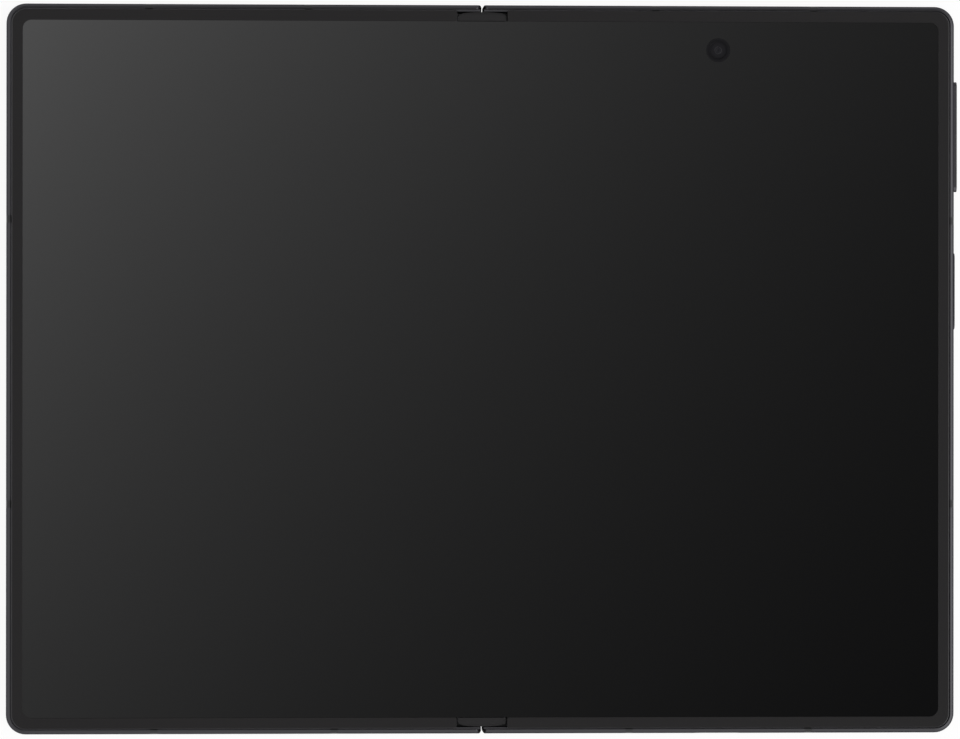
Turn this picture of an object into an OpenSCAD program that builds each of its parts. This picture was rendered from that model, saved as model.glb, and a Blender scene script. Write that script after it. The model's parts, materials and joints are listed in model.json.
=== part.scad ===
// Book-style folding phone, open and flat, inner screen up.
// X runs from the fold line to the right-hand rail, Y runs up along the fold, Z points out of the screen.
// The origin is on the fold line, at the middle of its length, in the plane of the rear lens rims.
// Each half is drawn on the +X side, from the fold line outwards, and the left one is mirrored.
// Heights inside a half count from the outside of its back cover.

/* [Open size] */
// Width of one half, from the fold line to its outer rail
half_w = 80.8; // [74:0.1:90]
// Height of the body, along the fold
body_h = 124.1; // [116:0.1:150]
// Radius of the outer corners, seen from the front
corner_r = 3.4; // [3:0.1:5]

/* [Layers, from the back] */
// Thickness of the back cover and of the cover glass
cover_t = 0.6; // [0.5:0.05:0.8]
// Height of the space for batteries and boards
cavity_t = 2.55; // [2.4:0.05:3.2]
// Thickness of the metal mid-plate
midplate_t = 0.6; // [0.4:0.05:0.8]
// Thickness of the plate that backs the screen
screen_plate_t = 0.35; // [0.25:0.05:0.5]
// Thickness of the flexible screen
screen_t = 0.4; // [0.3:0.05:0.5]
// Height of the bezel above the screen
bezel_proud = 0.3; // [0.2:0.05:0.4]

/* [Rail] */
// Width of the rail's upper edge
rail_top_w = 0.8; // [0.7:0.05:1]
// Width of the rail's lower lip, beside the back cover
rail_lip_w = 1; // [0.9:0.05:1.3]
// Thickness of the rail's wall, from the lip up to the mid-plate
rail_wall = 1.6; // [1.4:0.1:2]
// Thickness of the rail where it passes the hinge
rail_fold_wall = 1.15; // [1:0.05:1.3]
// Radius of the bulge of the rail's side
bulge_r = 9; // [6:0.5:14]
// Radius of the rail's rolled edges
edge_r = 1; // [0.8:0.05:1.2]
// Width of a plastic antenna break
band_w = 1.25; // [0.8:0.05:1.8]

/* [Bezel and screen] */
// Groove between rail and bezel
groove_w = 0.25; // [0.15:0.05:0.35]
// Distance from the rail's outside to the lit area of the screen
border_w = 2.86; // [2.7:0.02:3.3]
// Corner radius of the lit area
active_r = 1.5; // [1:0.1:2.5]
// Radius of the bezel's rolled outer edge
lip_r = 0.2; // [0.1:0.05:0.25]
// Width of the bezel's foot, which stands on the mid-plate
bezel_foot_w = 0.9; // [0.7:0.05:1]
// Half the width of the part of the screen that bends
bend_x = 6.5; // [6.2:0.1:7.5]

/* [Fold] */
// Height of the two fold axes above the back
axis_h = 2.8; // [2.7:0.05:2.9]
// Gap between the two bezels when the phone is closed
closed_gap = 0.2; // [0.16:0.02:0.4]
// Gap between the two halves at the fold when the phone is open
seam = 0.24; // [0.2:0.02:0.4]
// Running gap between the back covers and the spine
spine_gap = 0.15; // [0.1:0.05:0.2]
// Wall of the spine cover
spine_wall = 0.3; // [0.25:0.05:0.35]
// Running gap round the hinge caps
cap_gap = 0.15; // [0.1:0.05:0.3]
// Wall of a hinge cap
cap_wall = 0.35; // [0.3:0.05:0.5]
// Outward bow of a hinge cap, seen from the front
cap_bow = 0.3; // [0.2:0.05:0.35]
// Depth of a hinge cap's face below the bezel
cap_step = 0.35; // [0.3:0.05:0.5]

/* [Hinge] */
// Distance from the end of the body to the outer end of a hinge
hinge_end = 5.45; // [5.1:0.05:8]
// Length of a hinge along the fold
hinge_l = 14; // [13.6:0.1:16]
// Teeth of each of the four gears of a hinge
gear_teeth = 12; // [12:2:16]
// Width of the gears
gear_w = 1.6; // [1.2:0.1:1.8]
// Thickness of a hinge base's cheeks
cheek_t = 1; // [0.8:0.1:1.2]
// Radius of the main shafts
shaft_r = 0.35; // [0.3:0.01:0.38]
// Radius of the idler gears' shafts
idler_shaft_r = 0.3; // [0.25:0.01:0.32]
// Running clearance of a bore round its shaft, on the radius
run_fit = 0.03; // [0.02:0.01:0.06]
// Thickness of the hinge arms
arm_t = 0.65; // [0.5:0.05:0.7]
// Length of an arm's foot on its half
arm_foot_l = 4.6; // [4.2:0.1:6]
// Discs in each friction stack
disc_count = 6; // [4:1:6]

/* [Support flaps] */
// Length of a flap, from its pin towards the fold
flap_l = 3.6; // [3:0.1:3.7]
// Thickness of a flap
flap_t = 0.3; // [0.2:0.05:0.35]
// Gap between a flap's end bosses and the seats of the hinge arms
flap_seat_gap = 1.3; // [0.6:0.1:10]
// Radius of a flap's pin
flap_pin_r = 0.2; // [0.15:0.01:0.22]

/* [Keys and ports] */
// Height of the keys, across the rail
key_h = 1.7; // [1.4:0.05:1.75]
// Length of the volume key
volume_l = 18.8; // [14:0.1:22]
// Distance from the top of the body to the middle of the volume key
volume_from_top = 22.25; // [20:0.05:24]
// How far the volume key stands out of the rail
volume_proud = 0.5; // [0.3:0.05:0.6]
// Length of the power key
power_l = 13; // [10:0.1:15]
// Distance from the top of the body to the middle of the power key
power_from_top = 48.65; // [46:0.05:52]
// How far the power key stands out of the rail
power_proud = 0.15; // [0.1:0.05:0.4]
// Clearance round a key in its slot
key_fit = 0.1; // [0.08:0.01:0.15]
// Distance from the outer rail to the middle of the charging port, the card tray and the cameras
middle_from_side = 40.6; // [39:0.1:42]
// Width of the charging socket's opening
usb_w = 8.34; // [8.3:0.01:8.6]
// Height of the charging socket's opening
usb_h = 2.56; // [2.5:0.01:2.6]
// Width of the card tray's face
tray_w = 15.4; // [14.8:0.1:17]
// Length of the card tray
tray_l = 19; // [17:0.5:22]

/* [Cameras] */
// Radius of the inner camera's hole in the screen
punch_r = 2.03; // [1.9:0.01:2.4]
// Distance from the top of the body to the inner camera and the cover camera
punch_from_top = 7.65; // [7.4:0.05:9]
// Height of the rear camera island above the back
island_h = 1; // [0.6:0.1:1.4]
// Width of the rear camera island
island_w = 14.6; // [14:0.1:16]
// Height of the lens rims above the island
lens_rim_h = 0.6; // [0.4:0.05:0.8]
// Radius of a rear lens opening
lens_r = 4.7; // [4.2:0.1:5]
// Distance between neighbouring rear lenses
lens_pitch = 14; // [13.6:0.1:15]
// Distance from the outer rail to the rear lenses
lens_from_side = 12.8; // [12.4:0.1:14]
// Distance from the top of the body to the first rear lens
lens_from_top = 14.55; // [14:0.05:16]
// Radius of the flash window
flash_r = 1.7; // [1.2:0.1:2]

/* [Inside] */
// Length of the battery of the right half, along the fold
right_battery_l = 56; // [40:1:56]
// Length of the battery of the left half, along the fold
left_battery_l = 66; // [50:1:68]
// Thickness of the batteries
battery_t = 1.9; // [1.5:0.1:2]
// Thickness of the circuit boards
board_t = 0.7; // [0.5:0.1:0.9]
// Height of the shield cans
can_h = 0.7; // [0.5:0.1:0.8]
// Side of a rear camera module
module_w = 10.6; // [10:0.1:12]

/* [Hidden] */

graphite = [0.24, 0.24, 0.25];
matt_black = [0.17, 0.165, 0.17];
screen_black = [0.1, 0.1, 0.105];
band_grey = [0.3, 0.3, 0.31];
steel = [0.62, 0.62, 0.64];
board_green = [0.08, 0.22, 0.14];
cell_black = [0.13, 0.13, 0.14];
copper = [0.75, 0.43, 0.22];

smooth = 64;
fine = 32;
tiny = 0.05;           // face clearance of pieces that sit in each other
deep = 0.3;            // overlap of features that are one piece of metal
over = 1;              // how far a cut runs past the face that it opens
almost = 0.95;         // share of a radius at which a rounding meets its face, short of a sharp edge
half_h = body_h / 2;

// Heights above the back
cavity_top = cover_t + cavity_t;
mid_top = cavity_top + midplate_t;
plate_top = mid_top + screen_plate_t;
screen_top = plate_top + screen_t;
bezel_top = screen_top + bezel_proud;
lift = island_h + lens_rim_h;
side_z = screen_top / 2;

// Fold
axis_x = bezel_top - axis_h + closed_gap / 2;
spine_r = axis_h - cover_t - spine_gap;
spine_in_r = spine_r - spine_wall;
spine_floor = axis_h - spine_in_r;
cap_top = bezel_top - cap_step;
cap_half_w = axis_x + spine_r - 2 * tiny;
cap_side_gap = 0.25;   // beside a hinge cap, at rest and while it swings
swing_r = norm([cap_half_w - axis_x, cap_top - axis_h]) + cap_side_gap;
wall_x = axis_x + swing_r;
bezel_x = cap_half_w + cap_side_gap;
plate_x = bend_x + 0.5;
mid_x = bend_x + 0.4;
block_x = bend_x + 0.9;
rail_end_r = axis_x - closed_gap / 2;
cap_y = half_h - rail_fold_wall - cap_gap;
cap_in_y = cap_y - cap_bow - cap_wall;

// Rail
shelf_u = rail_top_w + groove_w;
active_y = half_h - border_w;
rim_x = rail_lip_w;
inner_x = half_w - rail_wall;
inner_y = half_h - rail_wall;
end_round_r = 0.8;     // of the rail's ends beside the fold, seen from the front

// Antenna breaks: those of the side rail by their distance from the ends of the body,
// those of the end rails by their distance from the side rail
side_break_top = 36.65;
side_break_bottom = 39.15;
top_break_near = 24.2;
top_break_far = 51.2;
bottom_break_near = 25.1;
bottom_break_far = 55.7;

// Hinge, with Y counted from the end nearest the middle of the phone
gear_pitch_r = axis_x / 3;
gear_module = 2 * gear_pitch_r / gear_teeth;
pressure_angle = 20;
backlash_angle = 0.9;  // taken off each tooth, on each of its flanks
gear_tip_r = gear_pitch_r + 0.8 * gear_module;
gear_root_r = gear_pitch_r - 1.15 * gear_module;
gear_base_r = gear_pitch_r * cos(pressure_angle);
boss_r = gear_tip_r;
hinge_y = half_h - hinge_end - hinge_l;
cheek_gap = 0.08;
cheek_a = 0.4;
gear_y = cheek_a + cheek_t + cheek_gap;
cheek_b = gear_y + gear_w + cheek_gap;
finger_y = cheek_b + cheek_t + cheek_gap;
finger_w = 1.6;
hinge_tail = 0.5;      // of the base beyond its outer cheek
cheek_c = hinge_l - hinge_tail - cheek_t;
outer_finger_y = cheek_c - cheek_gap - finger_w;
disc_y = finger_y + finger_w + cheek_gap;
disc_space = outer_finger_y - cheek_gap - disc_y;
disc_pitch = disc_space / disc_count;
arm_z = axis_h - boss_r + tiny;
foot_side_gap = 0.3;   // between an arm's foot and the wall beside the spine
foot_x = wall_x + foot_side_gap;
foot_end = foot_x + arm_foot_l;
foot_in = 0.6;         // of the foot's ends from the outer cheeks
foot_y = cheek_a + foot_in;
foot_h = cheek_c - foot_y + foot_in;
foot_gap = 0.15;       // between an arm's foot and the block it sits in
seat_rim = 0.4;        // of the seat, beyond the foot
collar_t = 0.25;
collar_rim = 0.18;
collar_gap = 0.05;
base_t = 0.5;
cheek_r = 0.85;
disc_t = 0.3;
screw_r = 0.38;
screw_head_r = 0.85;
screw_head_h = 0.35;
arm_screw_in = 2.95;   // of an arm's screws from the ends of its foot
arm_screw_x = foot_x + arm_foot_l / 2;
arm_screw_y = [foot_y + arm_screw_in, foot_y + foot_h - arm_screw_in];
spine_screw_in = 2.6;  // of the base's screws from the cheeks
spine_screw_y = [cheek_b + cheek_t + spine_screw_in, cheek_c - spine_screw_in];

// Flap
flap_top = plate_top - tiny;
flap_axis_z = flap_top - flap_pin_r;
flap_boss_l = 0.9;
flap_gap = 0.1;
flap_boss_w = 0.4;
flap_h = 2 * (hinge_y + foot_y - 2 * foot_gap - flap_seat_gap - flap_boss_l - flap_gap);

// Cables over the fold
cable_t = 0.15;
cable_w = 15;
cable_from_end = 41.05;
cable_y = half_h - cable_from_end;
cable_gap = 0.5;       // beside a cable, in the windows that it passes
cable_lift = 0.1;      // of a cable over the floor of its windows
cable_under_axis = 0.9;
cable_z = axis_h - cable_under_axis;

// Keys
flange_t = 0.6;
flange_rim = 0.1;
key_z = cavity_top - key_fit - flange_rim - key_h / 2;
volume_y = half_h - volume_from_top;
power_y = half_h - power_from_top;
volume_gap = 0.3;      // between the volume key's flange and the rail
power_gap = 0.1;       // the same for the power key
dome_r = 0.65;         // of the switch domes
dome_h = 0.35;
volume_dome_gap = 0.15;
power_dome_gap = 0.26;
volume_dome_y = 5.5;   // of the two volume domes, from the middle of the key
strip_t = 0.5;         // of the flex strip that carries the domes
strip_h = 1.4;

// Charging port and card tray
usb_wall = 0.15;
usb_cover = 0.2;       // of the mid-plate over the socket
usb_z = mid_top - usb_h / 2 - usb_wall - usb_cover;
usb_l = 7.3;
usb_recess = 0.35;     // of the socket's mouth behind the rail
usb_back_t = 0.9;
tongue_w = 6.7;
tongue_t = 0.7;
tongue_in = 0.75;      // of the tongue's tip behind the mouth
tray_z = key_z;
tray_h = 1.9;
tray_t = 0.8;
tray_face_t = 1.2;
tray_plate_w = 12.4;
card_w = 8.9;          // pocket for a standard card of the smallest kind
card_l = 12.4;
card_t = 0.65;
eject_r = 0.42;
eject_in = 1.6;        // of the eject hole from the tray's end
reader_side_t = 0.9;
reader_back_t = 1;
reader_gap = 0.1;      // between the tray's plate and the reader's slot
reader_half_slot = tray_plate_w / 2 + reader_gap;

// Cameras
middle_x = half_w - middle_from_side;
lens_x = half_w - lens_from_side;
lens_y = half_h - lens_from_top;
punch_y = half_h - punch_from_top;
inner_window_r = 1.55;
punch_house = 6.4;
cover_camera_r = 1.9;
cover_house = 6.2;
module_gap = 0.05;     // between a camera module and the rear cover
flash_gap = 3.4;       // between the camera island and the flash

// Inside
bay_x = 13;            // where batteries and boards start, beside the fold
roof_gap = 0.1;        // between a module and the mid-plate over it
cable_end_gap = 0.2;
cable_end = bay_x - cable_end_gap;
board_z = 1.45;
board_from_end = 11;   // of the main board from the rail's inner face
board_l = 30.3;
board_y = [inner_y - board_from_end - board_l, inner_y - board_from_end];
board_side = 3.2;      // of the main board from the camera modules
board_x1 = lens_x - module_w / 2 - board_side;
board_hole_r = 0.7;
board_hole_in = 1.6;
can_rim = 3.5;         // of board round the shield cans
can_gap = 1;
cell_z = cover_t + 0.55;
cell_chamfer = 0.35;
cell_gap = 2.5;        // between a battery and its board
right_battery_y = board_y[0] - cell_gap - right_battery_l;
left_battery_side = 9;
left_battery_from_end = 22;
left_battery_x1 = inner_x - left_battery_side;
left_battery_y = inner_y - left_battery_from_end - left_battery_l;
sub_board_side = 2.8;  // of the sub-board from the card reader
sub_board_in = 2.5;    // of it from the rail's inner face
sub_board_gap = 1.5;   // between it and the battery
coil_in_r = 12;
coil_turns = 7;
coil_pitch = 1.4;
coil_wire = 1.1;
coil_t = 0.2;
panel_t = 0.5;         // of the display behind the cover glass
panel_gap = 0.55;      // round it, clear of the rail's inner corner
panel_top = cover_t + panel_t + 0.1;
sound_hole_r = 0.5;
sound_pitch = 1.8;
speaker_l = 21;
speaker_h = 12;
speaker_side = 3;      // of the loudspeaker from the rail's inner face
speaker_x = inner_x - speaker_side - speaker_l / 2;
speaker_seat = 0.4;
top_speaker_l = 12;
top_speaker_h = 11;
top_speaker_side = 6.6;
top_speaker_x = inner_x - top_speaker_side - top_speaker_l / 2;
motor_l = 10;
motor_side = 5;
motor_in = 4;          // of the vibration motor from the rail's inner face
motor_gap = 2;         // between it and the battery
microphone_gap = 4;    // between a microphone and the socket or tray beside it
earpiece_l = 9;        // slit in the cover side's upper lip
earpiece_w = 0.3;
earpiece_in = 0.62;    // of the slit from the end of the body
earpiece_depth = 0.9;

module at_back() { translate([0, 0, lift]) children(); }
module left() { mirror([1, 0, 0]) children(); }
module both_ends() { for (s = [1, -1]) scale([1, s, 1]) children(); }

// A box from its lowest to its highest corner
module span(a, b) { translate(a) cube(b - a); }

// Plan of a half, drawn in from the rail's outside by inset, from x0 outwards
module half_plan(inset, x0, r) {
  w = half_w - inset;
  h = half_h - inset;
  translate([x0, -h]) square([w - x0 - r, 2 * h]);
  translate([w - 2 * r, r - h]) square([2 * r, 2 * (h - r)]);
  for (s = [-1, 1]) translate([w - r, s * (h - r)]) circle(r, $fn = smooth);
}

// What a rounding of radius r takes off a corner at the origin whose faces lie along +X and +Y
module rounding(r, n) {
  difference() {
    translate([-over, -over]) square(over + almost * r);
    translate([almost * r, almost * r]) circle(r, $fn = n);
  }
}

// A slot with round ends, centred, w long and h high
module stadium(w, h) {
  square([w - h, h], center = true);
  for (s = [-1, 1]) translate([s * (w - h) / 2, 0]) circle(h / 2, $fn = fine);
}

// Sweeps a section (X inwards from the rail's outside, Y up) round a half, starting at x0
module sweep_rail(x0) {
  run_y = half_h - corner_r;
  translate([half_w, 0, 0]) mirror([1, 0, 0]) rotate([90, 0, 0])
    linear_extrude(2 * run_y, center = true) children();
  both_ends() {
    translate([x0, half_h, 0]) mirror([0, 1, 0]) rotate([90, 0, 90])
      linear_extrude(half_w - corner_r - x0) children();
    translate([half_w - corner_r, run_y, 0]) rotate_extrude(angle = 90, $fn = smooth)
      translate([corner_r, 0]) mirror([1, 0]) children();
  }
}

// Extrudes a section that lies in X and Z along the fold, from y0 to y1
module along_fold(y0, y1) {
  translate([0, y1, 0]) rotate([90, 0, 0]) linear_extrude(y1 - y0) children();
}

// Extrudes an outline that lies in Y and Z through the side rail, from x0 to x1
module through_side(x0, x1) {
  translate([x0, 0, 0]) rotate([90, 0, 90]) linear_extrude(x1 - x0) children();
}

// Section of the metal rail: a bulged side, rolled edges, a lip below and a narrow top.
// The rolled edges start where the bulge has drawn in, and meet it at a slight angle.
module rail_section() {
  tangent = 0.99;
  roll_in = bulge_r - sqrt(pow(bulge_r, 2) - pow(side_z - edge_r, 2)) + (tangent - almost) * edge_r;
  difference() {
    intersection() {
      translate([bulge_r, side_z]) circle(bulge_r, $fn = 2 * smooth);
      polygon([[0, 0], [rail_lip_w, 0], [rail_lip_w, cover_t], [rail_wall, cover_t],
        [rail_wall, mid_top], [rail_top_w, mid_top], [rail_top_w, screen_top], [0, screen_top]]);
    }
    for (low = [0, 1]) translate([roll_in, low * screen_top]) scale([1, 1 - 2 * low])
      rounding(edge_r, smooth);
  }
}

// The rail of a half, with its ends rounded beside the fold and thinned past the hinge
module rail_solid() {
  difference() {
    sweep_rail(seam / 2) rail_section();
    span([0, rail_fold_wall - half_h, cover_t], [wall_x, half_h - rail_fold_wall, bezel_top]);
    along_fold(-half_h - over, half_h + over) difference() {
      translate([-over, axis_h]) square([axis_x + over, bezel_top]);
      translate([axis_x, axis_h]) circle(rail_end_r, $fn = smooth);
    }
    both_ends() translate([seam / 2, half_h, -over]) linear_extrude(bezel_top + 2 * over)
      scale([1, -1]) rounding(end_round_r, fine);
  }
}

module midplate() {
  translate([0, 0, cavity_top]) linear_extrude(midplate_t)
    half_plan(rail_wall - deep, mid_x, corner_r - rail_wall + deep);
}

// Boxes through the rail where the antenna breaks lie
module break_boxes() {
  reach = rail_wall + over;
  height = bezel_top + 2 * over;
  for (y = [half_h - side_break_top, side_break_bottom - half_h])
    translate([half_w - rail_wall, y - band_w / 2, -over]) cube([reach, band_w, height]);
  for (u = [top_break_near, top_break_far])
    translate([half_w - u - band_w / 2, half_h - rail_wall, -over]) cube([band_w, reach, height]);
  for (u = [bottom_break_near, bottom_break_far])
    translate([half_w - u - band_w / 2, -half_h - over, -over]) cube([band_w, reach, height]);
}

// Places in a half that follow the hinge arms' feet, with a margin round the foot
module foot_span(x0, x1, z0, z1, margin) {
  span([x0, hinge_y + foot_y - margin, z0], [x1, hinge_y + foot_y + foot_h + margin, z1]);
}

// Opening for a cable that crosses the fold
module cable_window(x0, x1, top) {
  span([x0, cable_y - cable_w / 2 - cable_gap, cable_z - cable_lift],
    [x1, cable_y + cable_w / 2 + cable_gap, top]);
}

// Bearing block of a half beside the spine: cable windows, arm seats and flap bosses
module hinge_block() {
  difference() {
    union() {
      along_fold(-inner_y - deep, inner_y + deep)
        polygon([[wall_x, cover_t], [block_x, cover_t], [block_x, cavity_top + deep],
          [mid_x, cavity_top + deep], [mid_x, axis_h], [wall_x, axis_h]]);
      both_ends() foot_span(wall_x, foot_end + seat_rim, cover_t, arm_z, foot_gap);
    }
    both_ends() {
      cable_window(wall_x - over, block_x + over, cavity_top);
      foot_span(wall_x - over, block_x + over, arm_z, bezel_top, foot_gap);
      arm_screw_holes();
    }
  }
  both_ends() flap_boss();
}

module arm_screw_holes() {
  for (y = arm_screw_y) translate([arm_screw_x, hinge_y + y, cover_t - over])
    cylinder(r = screw_r, h = bezel_top, $fn = fine);
}

module flap_boss() {
  y0 = flap_h / 2 + flap_gap;
  y1 = y0 + flap_boss_l;
  difference() {
    union() {
      span([bend_x - flap_boss_w, y0, cavity_top], [bend_x + flap_boss_w, y1, flap_top]);
      span([bend_x - flap_boss_w, y0, cavity_top], [block_x, y1, mid_top]);
    }
    along_fold(y0 - over, y1 + over) translate([bend_x, flap_axis_z])
      circle(flap_pin_r + run_fit, $fn = fine);
  }
}

// What both frames share
module frame_metal() {
  lip_end = 0.6;
  difference() {
    union() {
      rail_solid();
      midplate();
    }
    difference() {
      break_boxes();
      midplate();
    }
    both_ends() foot_span(mid_x - over, foot_end + seat_rim + foot_gap, cavity_top - over,
      mid_top + over, 2 * foot_gap);
  }
  hinge_block();
  span([seam / 2, lip_end - half_h, 0], [rim_x, half_h - lip_end, cover_t]);
}

module frame_bands() {
  difference() {
    intersection() {
      rail_solid();
      break_boxes();
    }
    midplate();
  }
}

module key_slot(y, l) {
  translate([0, y, key_z]) through_side(inner_x - over, half_w + over)
    stadium(l + 2 * key_fit, key_h + 2 * key_fit);
}

module usb_hole() {
  translate([middle_x, 0, usb_z]) along_fold(-half_h - over, over - half_h + usb_recess + usb_l)
    stadium(usb_w + 2 * usb_wall + 2 * tiny, usb_h + 2 * usb_wall + 2 * tiny);
}

// A row of round holes for sound through an end rail, centred at x
module sound_holes(x, count, end) {
  for (i = [0 : count - 1]) translate([x + (i - (count - 1) / 2) * sound_pitch, end * half_h, side_z])
    rotate([90, 0, 0]) cylinder(r = sound_hole_r, h = 4 * rail_wall, center = true, $fn = fine);
}

module right_frame() {
  color(graphite) at_back() difference() {
    frame_metal();
    key_slot(volume_y, volume_l);
    key_slot(power_y, power_l);
    usb_hole();
    sound_holes(speaker_x, 6, -1);
    sound_holes(middle_x - usb_w / 2 - microphone_gap, 1, -1);
    sound_holes(middle_x, 1, 1);
    translate([middle_x, punch_y, 0]) cylinder(r = punch_house / 2 + 0.4, h = bezel_top, $fn = smooth);
  }
}

module left_frame() {
  color(graphite) at_back() left() difference() {
    frame_metal();
    translate([middle_x, 0, tray_z]) along_fold(-half_h - over, 2 * rail_wall - half_h)
      stadium(tray_w + 2 * tiny, tray_h + 2 * tiny);
    sound_holes(top_speaker_x, 5, 1);
    sound_holes(middle_x + tray_w / 2 + microphone_gap, 1, -1);
    earpiece_slit();
  }
}

// Slit for the earpiece, in the rail's lip beside the cover glass
module earpiece_slit() {
  translate([middle_x, half_h - earpiece_in, -over]) linear_extrude(over + earpiece_depth)
    stadium(earpiece_l, earpiece_w);
}

module right_antenna_bands() { color(band_grey) at_back() frame_bands(); }
module left_antenna_bands() { color(band_grey) at_back() left() frame_bands(); }

// The bezel stands on the mid-plate, laps over the screen's edge and ends beside the hinge cap
module bezel() {
  end_r = 0.45;
  foot_u = shelf_u + bezel_foot_w;
  difference() {
    union() {
      sweep_rail(bezel_x) difference() {
        polygon([[shelf_u, mid_top], [foot_u, mid_top], [foot_u, bezel_top], [shelf_u, bezel_top]]);
        translate([shelf_u, bezel_top]) scale([1, -1]) rounding(lip_r, fine);
      }
      translate([0, 0, screen_top]) linear_extrude(bezel_proud) difference() {
        half_plan(foot_u - deep, bezel_x, corner_r - foot_u + deep);
        half_plan(border_w, bezel_x - over, active_r);
      }
    }
    both_ends() translate([bezel_x, active_y, mid_top - over]) linear_extrude(bezel_top)
      rounding(end_r, fine);
  }
}

module right_bezel() { color(matt_black) at_back() bezel(); }
module left_bezel() { color(matt_black) at_back() left() bezel(); }

// Plan of the layers under the bezel's lip, clear of its foot
module layer_plan(x0) {
  inset = shelf_u + bezel_foot_w + tiny;
  half_plan(inset, x0, corner_r - inset);
}

module screen_half() { translate([0, 0, plate_top]) linear_extrude(screen_t) layer_plan(bend_x); }

module screen_plate_half() {
  translate([0, 0, mid_top]) linear_extrude(screen_plate_t) layer_plan(plate_x);
}

module screen_right() {
  color(screen_black) at_back() difference() {
    screen_half();
    translate([middle_x, punch_y, 0]) cylinder(r = punch_r, h = 2 * bezel_top, $fn = smooth);
  }
}

module screen_left() { color(screen_black) at_back() left() screen_half(); }

module right_screen_plate() {
  color(steel) at_back() difference() {
    screen_plate_half();
    translate([middle_x, punch_y, 0]) cylinder(r = punch_r + 0.5, h = 2 * bezel_top, $fn = smooth);
  }
}

module left_screen_plate() { color(steel) at_back() left() screen_plate_half(); }

module screen_fold() {
  color(screen_black) at_back()
    span([tiny - bend_x, tiny - active_y, plate_top], [bend_x - tiny, active_y - tiny, screen_top]);
}

// Camera behind the punch hole: a housing on the mid-plate's level, a barrel and a recessed lens
module inner_camera() {
  rim_z = screen_top - 0.04;
  bowl_z = rim_z - 0.1;
  lens_z = bowl_z - 0.08;
  iris_r = 0.57;
  lens_rim_r = 0.4;
  color(matt_black) at_back() translate([middle_x, punch_y, 0]) {
    span([-punch_house / 2, -punch_house / 2, cover_t + deep],
      [punch_house / 2, punch_house / 2, cavity_top - roof_gap]);
    rotate_extrude($fn = smooth) polygon([[0, cavity_top - 2 * roof_gap],
      [punch_r + deep, cavity_top - 2 * roof_gap], [punch_r + deep, plate_top - tiny],
      [punch_r - tiny, plate_top - tiny], [punch_r - tiny, rim_z], [inner_window_r, rim_z],
      [inner_window_r - 0.1, bowl_z], [iris_r, bowl_z], [lens_rim_r, lens_z], [0, lens_z + 0.02]]);
  }
}

// A key with its flange inside the rail, l long and standing proud of it, gap behind the wall
module key(l, proud, gap) {
  through_side(inner_x - gap - flange_t / 2, half_w + proud) stadium(l, key_h);
  through_side(inner_x - gap - flange_t, inner_x - gap)
    stadium(l + 6 * flange_rim + 2 * key_fit, key_h + 2 * flange_rim);
}

module volume_key() {
  color(graphite) at_back() translate([0, volume_y, key_z]) key(volume_l, volume_proud, volume_gap);
}

// The power key has a shallow fingerprint field in its face
module power_key() {
  field_rim = 0.7;
  field_depth = 0.06;
  color(graphite) at_back() translate([0, power_y, key_z]) difference() {
    key(power_l, power_proud, power_gap);
    through_side(half_w + power_proud - field_depth, half_w + over)
      stadium(power_l - 2 * field_rim, key_h - field_rim);
  }
}

module dome(x, y) {
  translate([x - dome_h - tiny, y, key_z]) rotate([0, 90, 0])
    cylinder(r = dome_r, h = dome_h + tiny, $fn = fine);
}

// Stiffened flex strip behind the keys, with two volume domes and a power dome on a raised pad
module key_switches() {
  volume_dome_x = inner_x - volume_gap - flange_t - volume_dome_gap;
  power_dome_x = inner_x - power_gap - flange_t - power_dome_gap;
  strip_x = volume_dome_x - dome_h;
  end_rim = 3;
  z = [key_z - strip_h / 2, key_z + strip_h / 2];
  color(copper) at_back() {
    span([strip_x - strip_t, power_y - end_rim, z[0]], [strip_x, volume_y + volume_dome_y + end_rim, z[1]]);
    span([strip_x - tiny, power_y - end_rim, z[0]], [power_dome_x - dome_h / 2, power_y + end_rim, z[1]]);
    for (s = [-1, 1]) dome(volume_dome_x, volume_y + s * volume_dome_y);
    dome(power_dome_x, power_y);
  }
}

// Right half: boards, battery, coil and sound
module main_board() {
  color(board_green) at_back() difference() {
    span([bay_x, board_y[0], board_z], [board_x1, board_y[1], board_z + board_t]);
    for (x = [bay_x + board_hole_in, board_x1 - board_hole_in],
      y = [board_y[0] + board_hole_in, board_y[1] - board_hole_in])
      translate([x, y, 0]) cylinder(r = board_hole_r, h = bezel_top, $fn = fine);
  }
}

// Three cans on the board and one below it
module shield_cans() {
  top = board_z + board_t;
  x = [bay_x + can_rim, board_x1 - can_rim];
  y = [board_y[0] + can_rim, board_y[1] - can_rim / 2];
  split = [(x[0] + x[1]) / 2, y[0] + (y[1] - y[0]) / 3];
  color(steel) at_back() {
    span([x[0], y[0], top], [split[0] - can_gap / 2, y[1], top + can_h]);
    span([split[0] + can_gap / 2, split[1] + can_gap, top], [x[1], y[1], top + can_h]);
    span([split[0] + can_gap / 2, y[0], top], [x[1], split[1], top + can_h]);
    span([x[0], y[0], board_z - can_h], [x[1] - 2 * can_rim, y[1] - can_rim, board_z]);
  }
}

// A pouch cell with its long edges chamfered
module battery(x0, x1, y0, l) {
  along_fold(y0, y0 + l) translate([0, cell_z]) difference() {
    translate([x0, 0]) square([x1 - x0, battery_t]);
    for (x = [x0, x1], z = [0, battery_t]) translate([x, z]) rotate(45)
      square(cell_chamfer * sqrt(2), center = true);
  }
}

module right_battery() {
  color(cell_black) at_back() battery(bay_x, board_x1, right_battery_y, right_battery_l);
}

module left_battery() {
  color(cell_black) at_back() left() battery(bay_x, left_battery_x1, left_battery_y, left_battery_l);
}

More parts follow.
